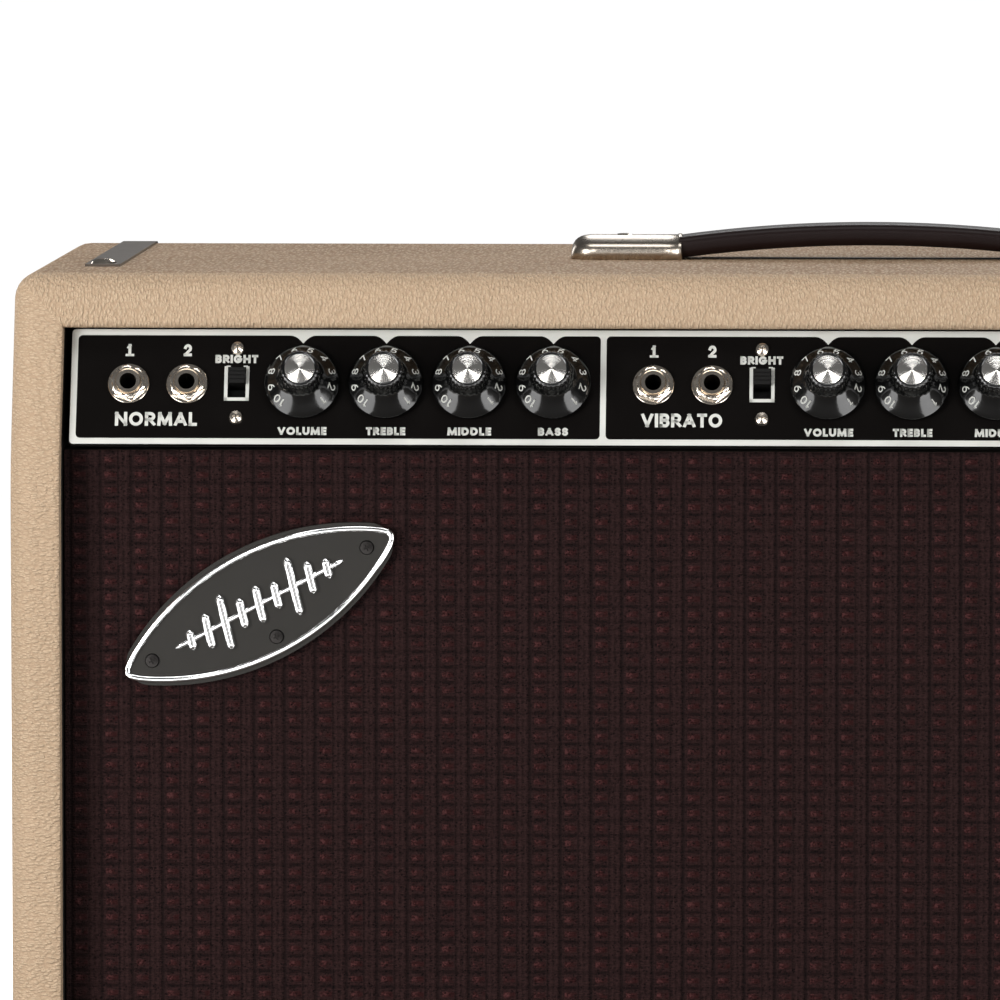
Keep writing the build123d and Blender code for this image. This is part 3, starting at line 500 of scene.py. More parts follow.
ring_stroke = bend(0.5, 0.5, 0.5, 0.5, 90, 450, 28)
six = [(0.8, 1), (0.45, 0.86), (0.12, 0.55), *bend(0.5, 0.3, 0.5, 0.3, 170, 530, 20)]
letters = {
    "A": (0.86, [[(0, 0), (0.5, 1), (1, 0)], [(0.2, 0.28), (0.8, 0.28)]]),
    "B": (0.68, [[(0, 0.5), (0, 1), (0.55, 1), *bend(0.55, 0.76, 0.4, 0.24, 90, -90), (0, 0.52)],
                 [(0, 0.52), (0.6, 0.52), *bend(0.6, 0.26, 0.4, 0.26, 90, -90), (0, 0), (0, 0.52)]]),
    "D": (0.8, [[(0, 0), (0, 1), (0.4, 1), *bend(0.4, 0.5, 0.6, 0.5, 90, -90), (0, 0)]]),
    "E": (0.6, [[(1, 1), (0, 1), (0, 0), (1, 0)], [(0, 0.5), (0.9, 0.5)]]),
    "G": (0.9, [[*bend(0.5, 0.5, 0.5, 0.5, 48, 330, 20), (1, 0.44), (0.56, 0.44)]]),
    "H": (0.78, [[(0, 0), (0, 1)], [(1, 0), (1, 1)], [(0, 0.5), (1, 0.5)]]),
    "I": (0.22, [[(0.5, 0), (0.5, 1)]]),
    "L": (0.56, [[(0, 1), (0, 0), (1, 0)]]),
    "M": (1.0, [[(0, 0), (0.07, 1), (0.5, 0.08), (0.93, 1), (1, 0)]]),
    "N": (0.82, [[(0, 0), (0, 1), (1, 0), (1, 1)]]),
    "O": (0.94, [ring_stroke]),
    "P": (0.66, [[(0, 0), (0, 1), (0.5, 1), *bend(0.5, 0.72, 0.5, 0.28, 90, -90), (0, 0.44)]]),
    "R": (0.72, [[(0, 0), (0, 1), (0.5, 1), *bend(0.5, 0.72, 0.46, 0.28, 90, -90), (0, 0.44)],
                 [(0.42, 0.44), (1, 0)]]),
    "S": (0.66, [[*bend(0.5, 0.75, 0.46, 0.25, 25, 220, 10), *bend(0.5, 0.26, 0.5, 0.26, 60, -155, 12)]]),
    "T": (0.68, [[(0, 1), (1, 1)], [(0.5, 1), (0.5, 0)]]),
    "U": (0.78, [[(0, 1), (0, 0.42), *bend(0.5, 0.42, 0.5, 0.42, 180, 360), (1, 1)]]),
    "V": (0.84, [[(0, 1), (0.5, 0), (1, 1)]]),
    "Y": (0.8, [[(0, 1), (0.5, 0.46), (1, 1)], [(0.5, 0.46), (0.5, 0)]]),
    "0": (0.66, [ring_stroke]),
    "1": (0.36, [[(0, 0.8), (0.7, 1), (0.7, 0)]]),
    "2": (0.64, [[*bend(0.5, 0.7, 0.5, 0.3, 165, -30, 10), (0, 0), (1, 0)]]),
    "3": (0.64, [bend(0.48, 0.76, 0.44, 0.24, 150, -90, 10), bend(0.48, 0.27, 0.5, 0.27, 90, -150, 10)]),
    "4": (0.7, [[(0.74, 0), (0.74, 1), (0, 0.28), (1, 0.28)]]),
    "5": (0.64, [[(0.92, 1), (0.16, 1), (0.08, 0.52), *bend(0.48, 0.32, 0.5, 0.32, 115, -150, 12)]]),
    "6": (0.66, [six]),
    "7": (0.6, [[(0, 1), (1, 1), (0.35, 0)]]),
    "8": (0.66, [bend(0.5, 0.76, 0.42, 0.24, 90, 450, 18), bend(0.5, 0.26, 0.5, 0.26, 90, 450, 18)]),
    "9": (0.66, [[(1 - u, 1 - v) for u, v in six]]),
}


def ribbon(path, weight, thickness, place, top=None):
    """A flat stroke along a path: smooth through curves, square-ended at corners, cut off past top."""
    spots = [Vector(p) for p in path]
    spots = spots[:1] + [b for a, b in zip(spots, spots[1:]) if (b - a).length > 1e-7]
    runs = [[spots[0]]]
    for k in range(1, len(spots)):
        runs[-1].append(spots[k])
        if k < len(spots) - 1 and (spots[k] - spots[k - 1]).angle(spots[k + 1] - spots[k]) > radians(34):
            runs.append([spots[k]])
    closed = len(runs) == 1 and (spots[0] - spots[-1]).length < 1e-6
    shapes = []
    for number, run in enumerate(runs):
        rings = []
        last = len(run) - 1
        for k, spot in enumerate(run):
            before = run[k - 1] if k else (run[-2] if closed else spot)
            after = run[k + 1] if k < last else (run[1] if closed else spot)
            way = (after - before).normalized()
            side = Vector((-way.y, way.x)) * weight / 2
            reach = weight * 0.5
            if k == 0 and number > 0:
                spot = spot - way * reach
            if k == last and number < len(runs) - 1:
                spot = spot + way * reach
            corners = [spot + side, spot - side]
            if top is not None:
                corners = [Vector((c.x, max(-top, min(top, c.y)))) for c in corners]
            left, right = corners
            rings.append([place @ Vector((*corner, out)) for corner, out in
                          ((left, 0), (right, 0), (right, thickness), (left, thickness))])
        shapes.append(skin(rings))
    return joined(*shapes)


def lettering(words, height, width, weight, place, thickness, gap=0.13):
    """Words in even strokes, centred on the local origin; width None keeps the letters' own."""
    step = gap * height
    natural = sum(letters[c][0] for c in words) * height + step * (len(words) - 1)
    wider = (width or natural) / natural
    shapes = []
    start = -natural / 2
    for c in words:
        across, strokes = letters[c]
        for stroke in strokes:
            path = [(wider * (start + weight / 2 + u * (across * height - weight)),
                     weight / 2 + v * (height - weight) - height / 2) for u, v in stroke]
            if stroke[0] != stroke[-1] and (Vector(path[0]) - Vector(path[-1])).length > weight / 2:
                path[0], path[-1] = (longer(path[1], path[0], weight / 2),
                                     longer(path[-2], path[-1], weight / 2))
            shapes.append(ribbon(path, weight, thickness, place, height / 2))
        start += across * height + step
    return joined(*shapes)


def longer(start, end, more):
    """The end point moved on past its place."""
    return tuple(Vector(end) + (Vector(end) - Vector(start)).normalized() * more)


def taken(curve, place):
    """A curve's filled shape as points and faces."""
    holder = bpy.data.objects.new("holder", curve)
    mesh = bpy.data.meshes.new_from_object(holder)
    points = [place @ v.co for v in mesh.vertices]
    faces = [tuple(p.vertices) for p in mesh.polygons]
    bpy.data.objects.remove(holder)
    bpy.data.meshes.remove(mesh)
    bpy.data.curves.remove(curve)
    return points, faces


def arc(cx, cy, radius, start, end, steps=8):
    return [(cx + radius * cos(radians(start + (end - start) * i / steps)),
             cy + radius * sin(radians(start + (end - start) * i / steps))) for i in range(steps + 1)]


def dress(node, material, bevel=0.0):
    """Gives a CAD node its finish, and a worn edge if it has one."""
    thing = nodes[node]
    thing.data.materials.clear()
    thing.data.materials.append(material)
    if bevel:
        edges = thing.modifiers.new("edges", "BEVEL")
        edges.width = bevel
        edges.segments = 2
        edges.limit_method = "ANGLE"
        edges.angle_limit = radians(35)
        edges.harden_normals = False


# Cabinet covering: one skin over the four boards


def front_at(z):
    """How far forward the cabinet reaches at a height."""
    over = z - knee_z
    soft = 5 * MM
    blended = soft * math.log1p(math.exp(max(-20.0, min(20.0, over / soft)))) if over < 20 * soft else over
    return front_y + blended * front_slope


def quarter(radius, steps):
    """Reaches of a quarter round's points, along its start and along its end."""
    return [(radius * cos(a), radius * sin(a)) for a in (radians(90 * i / steps) for i in range(steps + 1))]


def board_section():
    """Round a board's section: (inward, end, back). End 0 measures back from the front, end 1 from the rear.
    A distance over 30 mm is a share of the board's depth there."""
    outer, inner, lip = 10 * MM, 3.2 * MM, 1.2 * MM
    face = board + lip
    points = [(board, 0, 0.5), (board, 0, 0.2), (board, 0, 9 * MM), (face, 0, 7.5 * MM)]
    points += [(face - inner + c, 0, inner - s) for c, s in quarter(inner, 5)]
    points += [(face - inner - (face - inner - outer) * i / 4, 0, 0.0) for i in range(1, 4)]
    points += [(outer - s, 0, outer - c) for c, s in quarter(outer, 9)]
    points += [(0, 0, 0.05 + 0.45 * i / 12) for i in range(13)]
    points += [(0, 1, 0.5 - 0.45 * i / 12) for i in range(1, 13)]
    points += [(outer - c, 1, outer - s) for c, s in quarter(outer, 9)]
    points += [(outer + (board - inner - outer) * i / 4, 1, 0.0) for i in range(1, 4)]
    points += [(board - inner + s, 1, inner - c) for c, s in quarter(inner, 5)]
    points += [(board, 1, 0.04), (board, 1, 0.2)]
    return points


def covering():
    """The boards' section carried round the cabinet, with folded corners."""
    radius = 10 * MM
    step = 9 * MM
    stations = []

    def run(start, end, inward):
        length = (Vector(end) - Vector(start)).length
        count = max(2, round(length / step))
        for i in range(1, count):
            spot = Vector(start).lerp(Vector(end), i / count)
            stations.append((spot, Vector(inward), None))

    def corner(cx, cz, start):
        centre = Vector((cx, cz))
        diagonal = Vector((cos(radians(start - 45)), sin(radians(start - 45)))) * math.sqrt(2)
        for late in (0, 1):
            turned = radians(start - 90 * late)
            way = Vector((sin(turned), -cos(turned)))
            for i in range(4):
                angle = radians(start - 15 * (i + 3 * late))
                away = Vector((cos(angle), sin(angle)))
                stations.append((centre + away * radius, -away, (centre, diagonal, way, late)))

    left, right, low, high = -half_width, half_width, foot_z, top_z
    run((left, low + radius), (left, high - radius), (1, 0))
    corner(left + radius, high - radius, 180)
    run((left + radius, high), (right - radius, high), (0, -1))
    corner(right - radius, high - radius, 90)
    run((right, high - radius), (right, low + radius), (-1, 0))
    corner(right - radius, low + radius, 0)
    run((right - radius, low), (left + radius, low), (0, 1))
    corner(left + radius, low + radius, -90)

    section = board_section()
    rings, uvs = [], []
    along = 0.0
    before = stations[-1][0]
    base = 0.0
    for number, (spot, inward, turn) in enumerate(stations):
        if turn is None:
            along += (spot - before).length
        else:
            if stations[number - 1][2] is None:
                base = along + (spot - before).length
            along = base + 2 * radius
        before = spot
        ring = []
        across = 0.0
        last = None
        upper = inward.y < -0.9 if turn is None else turn[0].y > top_z / 2
        for depth, end, back in section:
            lip = max(0.0, depth - board)
            depth -= lip
            if turn is None or depth <= radius:
                flat_spot = spot + inward * depth
            else:
                flat_spot = turn[0] - turn[1] * (depth - radius)
            u = along if turn is None else base + 2 * radius * turn[3] + (flat_spot - turn[0]).dot(turn[2])
            if upper:
                flat_spot = flat_spot - Vector((0, lip))
            near = front_at(flat_spot.y)
            reach = back * (rear_y - near) if back > 30 * MM else back
            y = near + reach if end == 0 else rear_y - reach
            if last is not None:
                across += hypot(depth - last[0], y - last[1])
            last = (depth, y)
            ring.append(Vector((flat_spot.x, y, flat_spot.y)))
            uvs.append((u, across))
        rings.append(ring)
    rings.append(rings[0])
    points, faces = skin(rings, caps=False)
    count = len(section)
    total = len(stations) * count
    faces = [tuple(i % total for i in face) for face in faces]
    inside = {i for i, (depth, end, back) in enumerate(section) if depth == board}

    def pick(polygon):
        if all(v % count in inside for v in polygon.vertices):
            return 1
        # Upward faces of the top take the copy with deeper painted shade.
        return 2 if abs(polygon.normal.z) > 0.985 and polygon.center.z > top_z / 2 else 0

    made = piece("cabinet_covering", points[:total], faces, vinyl, uvs=uvs,
                 materials=[black_board, vinyl_top_painted_shade], pick=pick)
    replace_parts(made, "cabinet_top", "cabinet_bottom", "cabinet_side_left", "cabinet_side_right")


covering()

# Grille cloth, stretched over the baffle's front


def grille():
    """The cloth as a closed sheet whose front edge turns back a little all round."""
    low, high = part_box("grille_cloth")
    wrap = 1.2 * MM
    front = low.y + 0.1 * MM
    back = high.y - 0.1 * MM

    def spots(first, last, count):
        inner = [first + wrap + (last - first - 2 * wrap) * i / count for i in range(count + 1)]
        return [first, *inner, last]

    xs, zs = spots(low.x, high.x, 80), spots(low.z, high.z, 52)
    rows, columns = len(xs), len(zs)
    points = []
    for middle, edge in ((front, front + wrap * 0.5), (back, back - wrap * 0.1)):
        for i, x in enumerate(xs):
            for j, z in enumerate(zs):
                rim = i in (0, rows - 1) or j in (0, columns - 1)
                points.append((x, edge if rim else middle, z))
    second = rows * columns
    faces = []
    for start in (0, second):
        for i in range(rows - 1):
            for j in range(columns - 1):
                a = start + i * columns + j
                faces.append((a, a + columns, a + columns + 1, a + 1))
    loop = [(i, 0) for i in range(rows)] + [(rows - 1, j) for j in range(1, columns)]
    loop += [(i, columns - 1) for i in range(rows - 2, -1, -1)] + [(0, j) for j in range(columns - 2, 0, -1)]
    for k, (i, j) in enumerate(loop):
        m, n = loop[(k + 1) % len(loop)]
        a, b = i * columns + j, m * columns + n
        faces.append((a, b, second + b, second + a))
    made = piece("woven_grille_cloth", points, faces, oxblood)
    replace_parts(made, "grille_cloth")


grille()
dress("baffle_board", black_board)
dress("cleats", black_board, bevel=0.8 * MM)

# Control panel

knob_joints = {joint["child"]: joint for joint in frame["joints"] if joint["name"].endswith("_turn")}
knob_spots = {name: joint["pos_m"][0] for name, joint in knob_joints.items()}
turn = knob_joints["normal_volume_knob"]
panel_normal = Vector(turn["axis"]).normalized()
panel_up = Vector((1, 0, 0)).cross(-panel_normal)
knob_row = 25.6 * MM
panel_place = upright(Vector((0, *turn["pos_m"][1:])) - panel_up * knob_row, panel_normal, panel_up)
plate_low, plate_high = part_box("faceplate")
panel_half = plate_high.x
panel_height = 48 * MM
border = 2.7 * MM
ink = 0.06 * MM
first_jack_x = mounts["normal_input_1"]["pos_m"][0]
second_jack_x = mounts["normal_input_2"]["pos_m"][0]
third_jack_x = mounts["vibrato_input_1"]["pos_m"][0]
channel_pitch = third_jack_x - first_jack_x
divider_x = third_jack_x - 19.7 * MM
dress("faceplate", panel_black, bevel=0.3 * MM)


def on_panel(x, height, out=0.0):
    return panel_place @ Matrix.Translation((x, height, out))


def field(left, right, cusps):
    """Outline of a black field inside the white border, with a white cusp over each knob."""
    radius = 1.8 * MM
    low, high = border, panel_height - border
    points = arc(right - radius, low + radius, radius, -90, 0)
    points += arc(right - radius, high - radius, radius, 0, 90)
    reach, depth = 5.2 * MM, 3.3 * MM
    for x in sorted(cusps, reverse=True):
        flank = [(x + reach * (1 - i / 8), high - depth * (i / 8) ** 2.1) for i in range(9)]
        points += flank + [(2 * x - px, py) for px, py in reversed(flank[:-1])]
    points += arc(left + radius, high - radius, radius, 90, 180)
    points += arc(left + radius, low + radius, radius, 180, 270)
    return points


def printing():
    """White border, divider, frames and words printed on the faceplate."""
    edge = 0.5 * MM
    outline = rounded(2 * panel_half - edge, panel_height - edge, 1.5 * MM)
    outer = [(x, y + panel_height / 2) for x, y in outline]
    first = [x for x in knob_spots.values() if x < divider_x]
    second = [x for x in knob_spots.values() if x > divider_x]
    half_line = 1.15 * MM
    shapes = [flat([outer, field(-panel_half + border, divider_x - half_line, first),
                    field(divider_x + half_line, panel_half - border, second)], ink, on_panel(0, 0))]
    for channel, (name, width) in enumerate((("normal", 32.4), ("vibrato", 31.8))):
        shift = channel * channel_pitch
        place = on_panel((first_jack_x + second_jack_x) / 2 + shift - 0.3 * MM, 10.6 * MM)
        shapes.append(lettering(name.upper(), 5.7 * MM, width * MM, 1.3 * MM, place, ink, 0.11))
        for number, x in (("1", first_jack_x), ("2", second_jack_x)):
            place = on_panel(x + shift, 39.1 * MM)
            shapes.append(lettering(number, 5.0 * MM, None, 1.15 * MM, place, ink))
            if number == "1":
                foot = [(-1.5 * MM, -2.05 * MM), (1.9 * MM, -2.05 * MM)]
                shapes.append(ribbon(foot, 0.95 * MM, ink, place))
        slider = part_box(name + "_bright_slider")
        x = (slider[0].x + slider[1].x) / 2
        place = on_panel(x - 0.2 * MM, 35.5 * MM)
        shapes.append(lettering("BRIGHT", 3.4 * MM, 17.0 * MM, 0.95 * MM, place, ink, 0.08))
        place = on_panel(x, 25.7 * MM)
        wide, tall, gap = 8.5 * MM / 2, 13.6 * MM / 2, 2.6 * MM
        window = [(-wide, tall), (-wide, -tall), (wide, -tall), (wide, tall)]
        head_left, head_right = [window[0], (-gap, tall)], [(gap, tall), window[-1]]
        for stroke, weight in ((window, 1.35), (head_left, 0.5), (head_right, 0.5)):
            shapes.append(ribbon(stroke, weight * MM, ink, place))
    widths = {"VOLUME": 19.4, "TREBLE": 15.6, "MIDDLE": 17.4, "BASS": 12.0}
    for name, x in knob_spots.items():
        word = name.replace("_knob", "").split("_")[-1].upper()
        width = widths[word] * MM if word in widths else None
        place = on_panel(x + 0.3 * MM, 5.8 * MM)
        shapes.append(lettering(word, 3.3 * MM, width, 0.93 * MM, place, ink, 0.08))
    made = piece("panel_printing", *joined(*shapes), print_white, smooth=False)


printing()

# Knobs


knob_length = 19.0


def knob_profile():
    """Half outline in millimetres, from the open underside over the skirt and barrel to the recessed face."""
    top = knob_length
    return [
        (12.6, 1.4), (12.6, 1.2), (14.6, 1.2), (15.0, 1.5), (15.0, 2.1), (14.8, 2.5), (13.4, 3.9),
        (11.6, 5.65), (10.2, 7.0), (9.2, 8.1), (8.5, 9.2), (8.15, 10.2), (8.05, 11.0), (7.95, top - 4),
        (7.8, top - 1.1), (7.45, top - 0.35), (6.9, top), (6.2, top), (5.95, top - 0.15), (5.9, top - 0.7),
    ]


def knob(name, joint):
    """Fluted moulding, spun cap and ten numerals, all on the knob's own body."""
    place = upright(joint["pos_m"], panel_normal, panel_up)
    steps, flutes, flute_depth = 120, 24, 0.38
    flute_start, face_radius = 9.4, 6.5
    rings = []
    for radius, height in knob_profile():
        rise = min(1.0, max(0.0, (height - flute_start) / 1.4))
        carved = rise * min(1.0, max(0.0, (knob_length + 0.02 - height) / 0.5))
        ring = []
        for i in range(steps):
            angle = 2 * pi * i / steps
            dip = flute_depth * carved * max(0.0, cos(angle * flutes)) ** 0.7 if radius >= face_radius else 0
            reach = (radius - dip) * MM
            ring.append(place @ Vector((reach * cos(angle), reach * sin(angle), height * MM)))
        rings.append(ring)
    made = piece(name + "_moulding", *skin(rings), knob_black, body=name)
    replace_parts(made, name)

    cap_outline = [(0.0, -0.3), (5.85, -0.3), (5.85, 0.2), (5.7, 0.35), (4.0, 0.4), (2.0, 0.42), (0.0, 0.42)]
    points, faces = lathe([(radius * MM, height * MM) for radius, height in cap_outline], 96)
    mesh = bpy.data.meshes.new(name + "_cap")
    mesh.from_pydata([tuple(p) for p in points], [], faces)
    mesh.materials.append(spun_aluminium)
    mesh.polygons.foreach_set("use_smooth", [True] * len(mesh.polygons))
    mesh.set_sharp_from_angle(angle=radians(30))
    cap = shown(name + "_cap", mesh)
    cap.matrix_world = place @ Matrix.Translation((0, 0, (knob_length - 0.5) * MM))
    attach(cap, name)

    slope = math.atan2(5.9, 5.8)
    on_skirt = (Matrix.Translation((12.3 * MM, 0, 5.02 * MM)) @ Matrix.Rotation(slope, 4, "Y")
                @ Matrix.Rotation(-pi / 2, 4, "Z") @ Matrix.Translation((0, 0, 0.02 * MM)))
    numerals = []
    for number in range(1, 11):
        turned = place @ Matrix.Rotation(radians(90 + (number - 5.5) * 30), 4, "Z")
        numerals.append(lettering(str(number), 3.8 * MM, None, 0.52 * MM, turned @ on_skirt, 0.05 * MM, 0.18))
    digits = piece(name + "_numerals", *joined(*numerals), print_white, body=name, smooth=False)


for name, joint in knob_joints.items():
    knob(name, joint)

# Jacks, nuts and washers


def hex_nut(flats, bore, low, high, place):
    """Hexagon nut with its corners turned off."""
    corner = flats / math.sqrt(3)
    steps = 72

    def ring(limit, height, hexed=True):
        points = []
        for i in range(steps):
            angle = 2 * pi * i / steps
            edge = (flats / 2) / cos((angle + pi / 6) % (pi / 3) - pi / 6) if hexed else limit
            r = min(edge, limit)
            points.append(place @ Vector((r * cos(angle), r * sin(angle), height)))
        return points

    rings = [
        ring(bore, low, False), ring(corner, low), ring(corner, high - 0.7 * MM),
        ring(corner - 0.45 * MM, high - 0.3 * MM), ring(flats / 2 - 0.3 * MM, high, False),
        ring(bore + 0.5 * MM, high, False), ring(bore, high - 0.4 * MM, False),
    ]
    return skin([*rings, rings[0]], caps=False)


def washer(outer, bore, low, high, place):
    """Flat ring with its outer front edge turned off."""
    steps = 72
    profile = [(bore, low), (outer, low), (outer, high - 0.25 * MM), (outer - 0.25 * MM, high), (bore, high)]
    points, faces = lathe(profile, steps, place)
    last = (len(profile) - 1) * steps
    return points, faces[:-2] + [(j, last + j, last + (j + 1) % steps, (j + 1) % steps) for j in range(steps)]


def hardware():
    """A washer and a nut on every jack and every potentiometer."""
    thick, nut_top = 0.8 * MM, 3.0 * MM
    shapes = []
    for name, mount in mounts.items():
        if mount["kind"] != "bore":
            continue
        normal = Vector(mount["axis"]).normalized()
        mouth = Vector(mount["pos_m"]) + normal * mount["dims"]["length_mm"] * MM / 2
        up = panel_up if name.endswith(("input_1", "input_2")) else Vector((0, 0, 1))
        place = upright(mouth - normal * 3.6 * MM, normal, up) @ Matrix.Rotation(radians(11), 4, "Z")
        shapes.append(washer(8.15 * MM, 4.85 * MM, 0, thick, place))
        shapes.append(hex_nut(12.8 * MM, 4.85 * MM, thick, nut_top, place))
    for x in knob_spots.values():
        place = on_panel(x, knob_row)
        shapes.append(washer(8.1 * MM, 4.8 * MM, 0, thick, place))
        shapes.append(hex_nut(12.6 * MM, 4.8 * MM, thick, nut_top, place))
    made = piece("nuts_and_washers_plated", *joined(*shapes), nickel)
    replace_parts(made, "nuts_and_washers")


hardware()
dress("panel_screws", nickel, bevel=0.15 * MM)
for name in ("input_jacks", "rear_jacks"):
    dress(name, nickel, bevel=0.35 * MM)
for name in ("normal_bright_slider", "vibrato_bright_slider"):
    dress(name, soft_black, bevel=0.25 * MM)
for name in ("chassis", "handle_tongues", "potentiometers"):
    dress(name, zinc)
dress("slide_switch_bodies", soft_black)
# Chassis faces at and in front of the faceplate's back get soft black: painted shade in the gap under the
# faceplate, on a zinc chassis.
chassis_sheet = nodes["chassis"].data
chassis_sheet.materials.append(soft_black)
for polygon in chassis_sheet.polygons:
    polygon.material_index = int(polygon.center.y < plate_high.y + 0.5 * MM)

# Carrying handle


def crown_outline(width, side, crown):
    """Crowned section of a handle cap, as (across, height) points from one foot over to the other."""
    half = width / 2
    rise = crown - side
    radius = (half * half + rise * rise) / (2 * rise)
    sweep = math.asin(half / radius)
    top = [(radius * sin(a), crown - radius + radius * cos(a))
           for a in (-sweep + 2 * sweep * i / 20 for i in range(21))]
    corner = 1.4 * MM
    eased_top = []
    for y, z in top:
        edge = half - abs(y)
        if edge < corner:
            z -= (corner - math.sqrt(max(0.0, corner ** 2 - (corner - edge) ** 2))) * 0.9
        eased_top.append((y, z))
    return [(-half, 0.0), (-half, side * 0.5), *eased_top, (half, side * 0.5), (half, 0.0)]


strap_low, strap_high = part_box("handle_strap")
cap_low, cap_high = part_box("handle_caps")
handle_y = (strap_low.y + strap_high.y) / 2
mouth_x = strap_high.x + 0.3 * MM
cap_end = cap_high.x
cap_crown = cap_high.z - top_z
cap_side = 5.6 * MM
strap_thickness = 9.0 * MM
strap_rise = strap_high.z - strap_low.z - strap_thickness


def handle_cap(side):
    """Plated cap: closed rounded end, rolled lip at the mouth, lined inside."""
    width = 28 * MM
    straight = 34.5
    tip = cap_end - mouth_x - straight * MM

    def ring(x, wide, tall):
        return [Vector((side * (mouth_x + x), handle_y + y * wide, top_z + z * tall))
                for y, z in crown_outline(width, cap_side, cap_crown)]

    lip = [(0.0, 1.0), (0.35, 1.035), (0.9, 1.045), (1.5, 1.035), (2.1, 1.0)]
    rings = [ring(x * MM, 0.93, 0.87) for x in (30.0, 10, 0.2)]
    rings += [ring(x * MM, min(swell, 1.03), swell) for x, swell in lip]
    rings += [ring(x * MM, 1.0, 1.0) for x in (8, 20, 30, straight)]
    for i in range(1, 10):
        angle = pi / 2 * i / 9
        wide = 1 - (1 - cos(angle)) * 0.62
        tall = 1 - (1 - cos(angle)) ** 1.5 * 0.75
        rings.append(ring(straight * MM + tip * sin(angle), wide, tall))
    points, faces = skin(rings, closed=False, caps=False)
    count = len(rings[0])
    last = (len(rings) - 1) * count
    faces.append(tuple(last + i for i in range(count)))
    name = "handle_cap_right" if side > 0 else "handle_cap_left"
    # The cap takes the nickel copy darkened with painted shade.
    made = piece(name, points, faces, cap_plate)
    solid = made.modifiers.new("wall", "SOLIDIFY")
    solid.thickness = 0.01 * MM
    return made


def strap_half(side):
    """Half of the moulded strap; its root end stays under the cap while its middle lifts."""
    reach = mouth_x
    width = 25 * MM
    count = 30
    rings = []
    for i in range(count + 1):
        x = (reach + 1.2 * MM) * i / count
        bow = strap_rise * (1 - (x / reach) ** 2)
        ring = []
        for y, z in rounded(width, strap_thickness, 3.4 * MM, 7):
            crown = 0.9 * MM * (1 - (2 * y / width) ** 2) * (1 if z > 0 else 0)
            height = strap_low.z + bow + strap_thickness / 2 + z * 0.94 + crown * 0.6
            ring.append(Vector((side * x, handle_y + y, height)))
        rings.append(ring)
    name = "handle_strap_right" if side > 0 else "handle_strap_left"
    made = piece(name, *skin(rings), strap_rubber)
    made.parent = None
    del made["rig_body"]
    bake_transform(made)
    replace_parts(made, "handle_strap")


for side in (-1, 1):
    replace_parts(handle_cap(side), "handle_caps")
    strap_half(side)
dress("oval_head_screws", nickel, bevel=0.25 * MM)
dress("handle_rub_strip", soft_black, bevel=0.1 * MM)
# The chassis straps' darkness is painted into their chrome's colour.
dress("chassis_straps", dark_chrome, bevel=0.5 * MM)

# Badge: a lens-shaped plate with a rounded rim and slanted sound bars


def half_round(path, width, height, place, looped=False):
    """A bar of half-round section along a path, its loose ends tapered down."""
    spots = [Vector(p) for p in path]
    count = len(spots)
    rings = []
    for k, spot in enumerate(spots):
        before = spots[k - 1] if k or looped else spot
        after = spots[(k + 1) % count] if k < count - 1 or looped else spot
        way = (after - before).normalized()
        side = Vector((-way.y, way.x))
        taper = 1.0
        if not looped:
            from_end = min((spot - spots[0]).length, (spot - spots[-1]).length)
            taper = min(1.0, math.sqrt(max(0.02, from_end / (width / 2))))
        rings.append([place @ Vector((*(spot + side * (cos(a) * width / 2 * taper)), sin(a) * height * taper))
                      for a in (pi * i / 12 for i in range(13))])
    if looped:
        points, faces = skin([*rings, rings[0]], caps=False)
        total = count * 13
        return points[:total], [tuple(i % total for i in face) for face in faces]
    return skin(rings)


def lens(length, width, steps=24):
    """Outline of two equal arcs that meet in eased points."""
    half, rise = length / 2, width / 2
    radius = (half ** 2 + rise ** 2) / (2 * rise)
    sweep = math.asin(half / radius)
    upper = [(radius * sin(sweep * t), radius * cos(sweep * t) - radius + rise)
             for t in (1 - 2 * i / steps for i in range(steps))]
    return upper + [(-x, -y) for x, y in upper]


def eased(outline, turns=3):
    """A looped outline with its sharp points worn down by averaging neighbours."""
    for _ in range(turns):
        before, after = [outline[-1], *outline[:-1]], [*outline[1:], outline[0]]
        outline = [tuple((a + 2 * b + c) / 4 for a, b, c in zip(*spots))
                   for spots in zip(before, outline, after)]
    return outline


def badge():
    """Chrome rim, middle line and sound bars on the badge's plate."""
    low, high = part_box("badge_plate")
    tilt = radians(28)
    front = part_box("grille_cloth")[0].y - 3 * MM
    centre = Vector(((low.x + high.x) / 2, front, (low.z + high.z) / 2))
    place = upright(centre, (0, -1, 0), (-sin(tilt), 0, cos(tilt)))
    shapes = [half_round(eased(lens(123 * MM, 40.6 * MM, 40)), 2.6 * MM, 1.3 * MM, place, True)]
    heights = (9, 15, 23, 13, 16, 12, 24, 14, 9)
    spacing, slant = 7.6 * MM, radians(14)
    span = spacing * (len(heights) - 1) + 14 * MM
    shapes.append(half_round([(-span / 2 + span * i / 40, 0) for i in range(41)], 2.4 * MM, 1.5 * MM, place))
    for k, tall in enumerate(heights):
        x = (k - (len(heights) - 1) / 2) * spacing
        reach = tall * MM / 2
        path = [(x + sin(slant) * t * reach, cos(slant) * t * reach)
                for t in (-1 + i / 12 for i in range(25))]
        shapes.append(half_round(path, 3.8 * MM, 2.2 * MM, place))
    made = piece("badge_sound_bars", *joined(*shapes), chrome)
    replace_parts(made, "badge_ornament")


badge()
dress("badge_plate", badge_black, bevel=0.9 * MM)
dress("badge_screws", black_steel, bevel=0.15 * MM)

# Pilot lamp
dress("pilot_bezel", chrome, bevel=0.3 * MM)
dress("pilot_jewel", jewel_red)

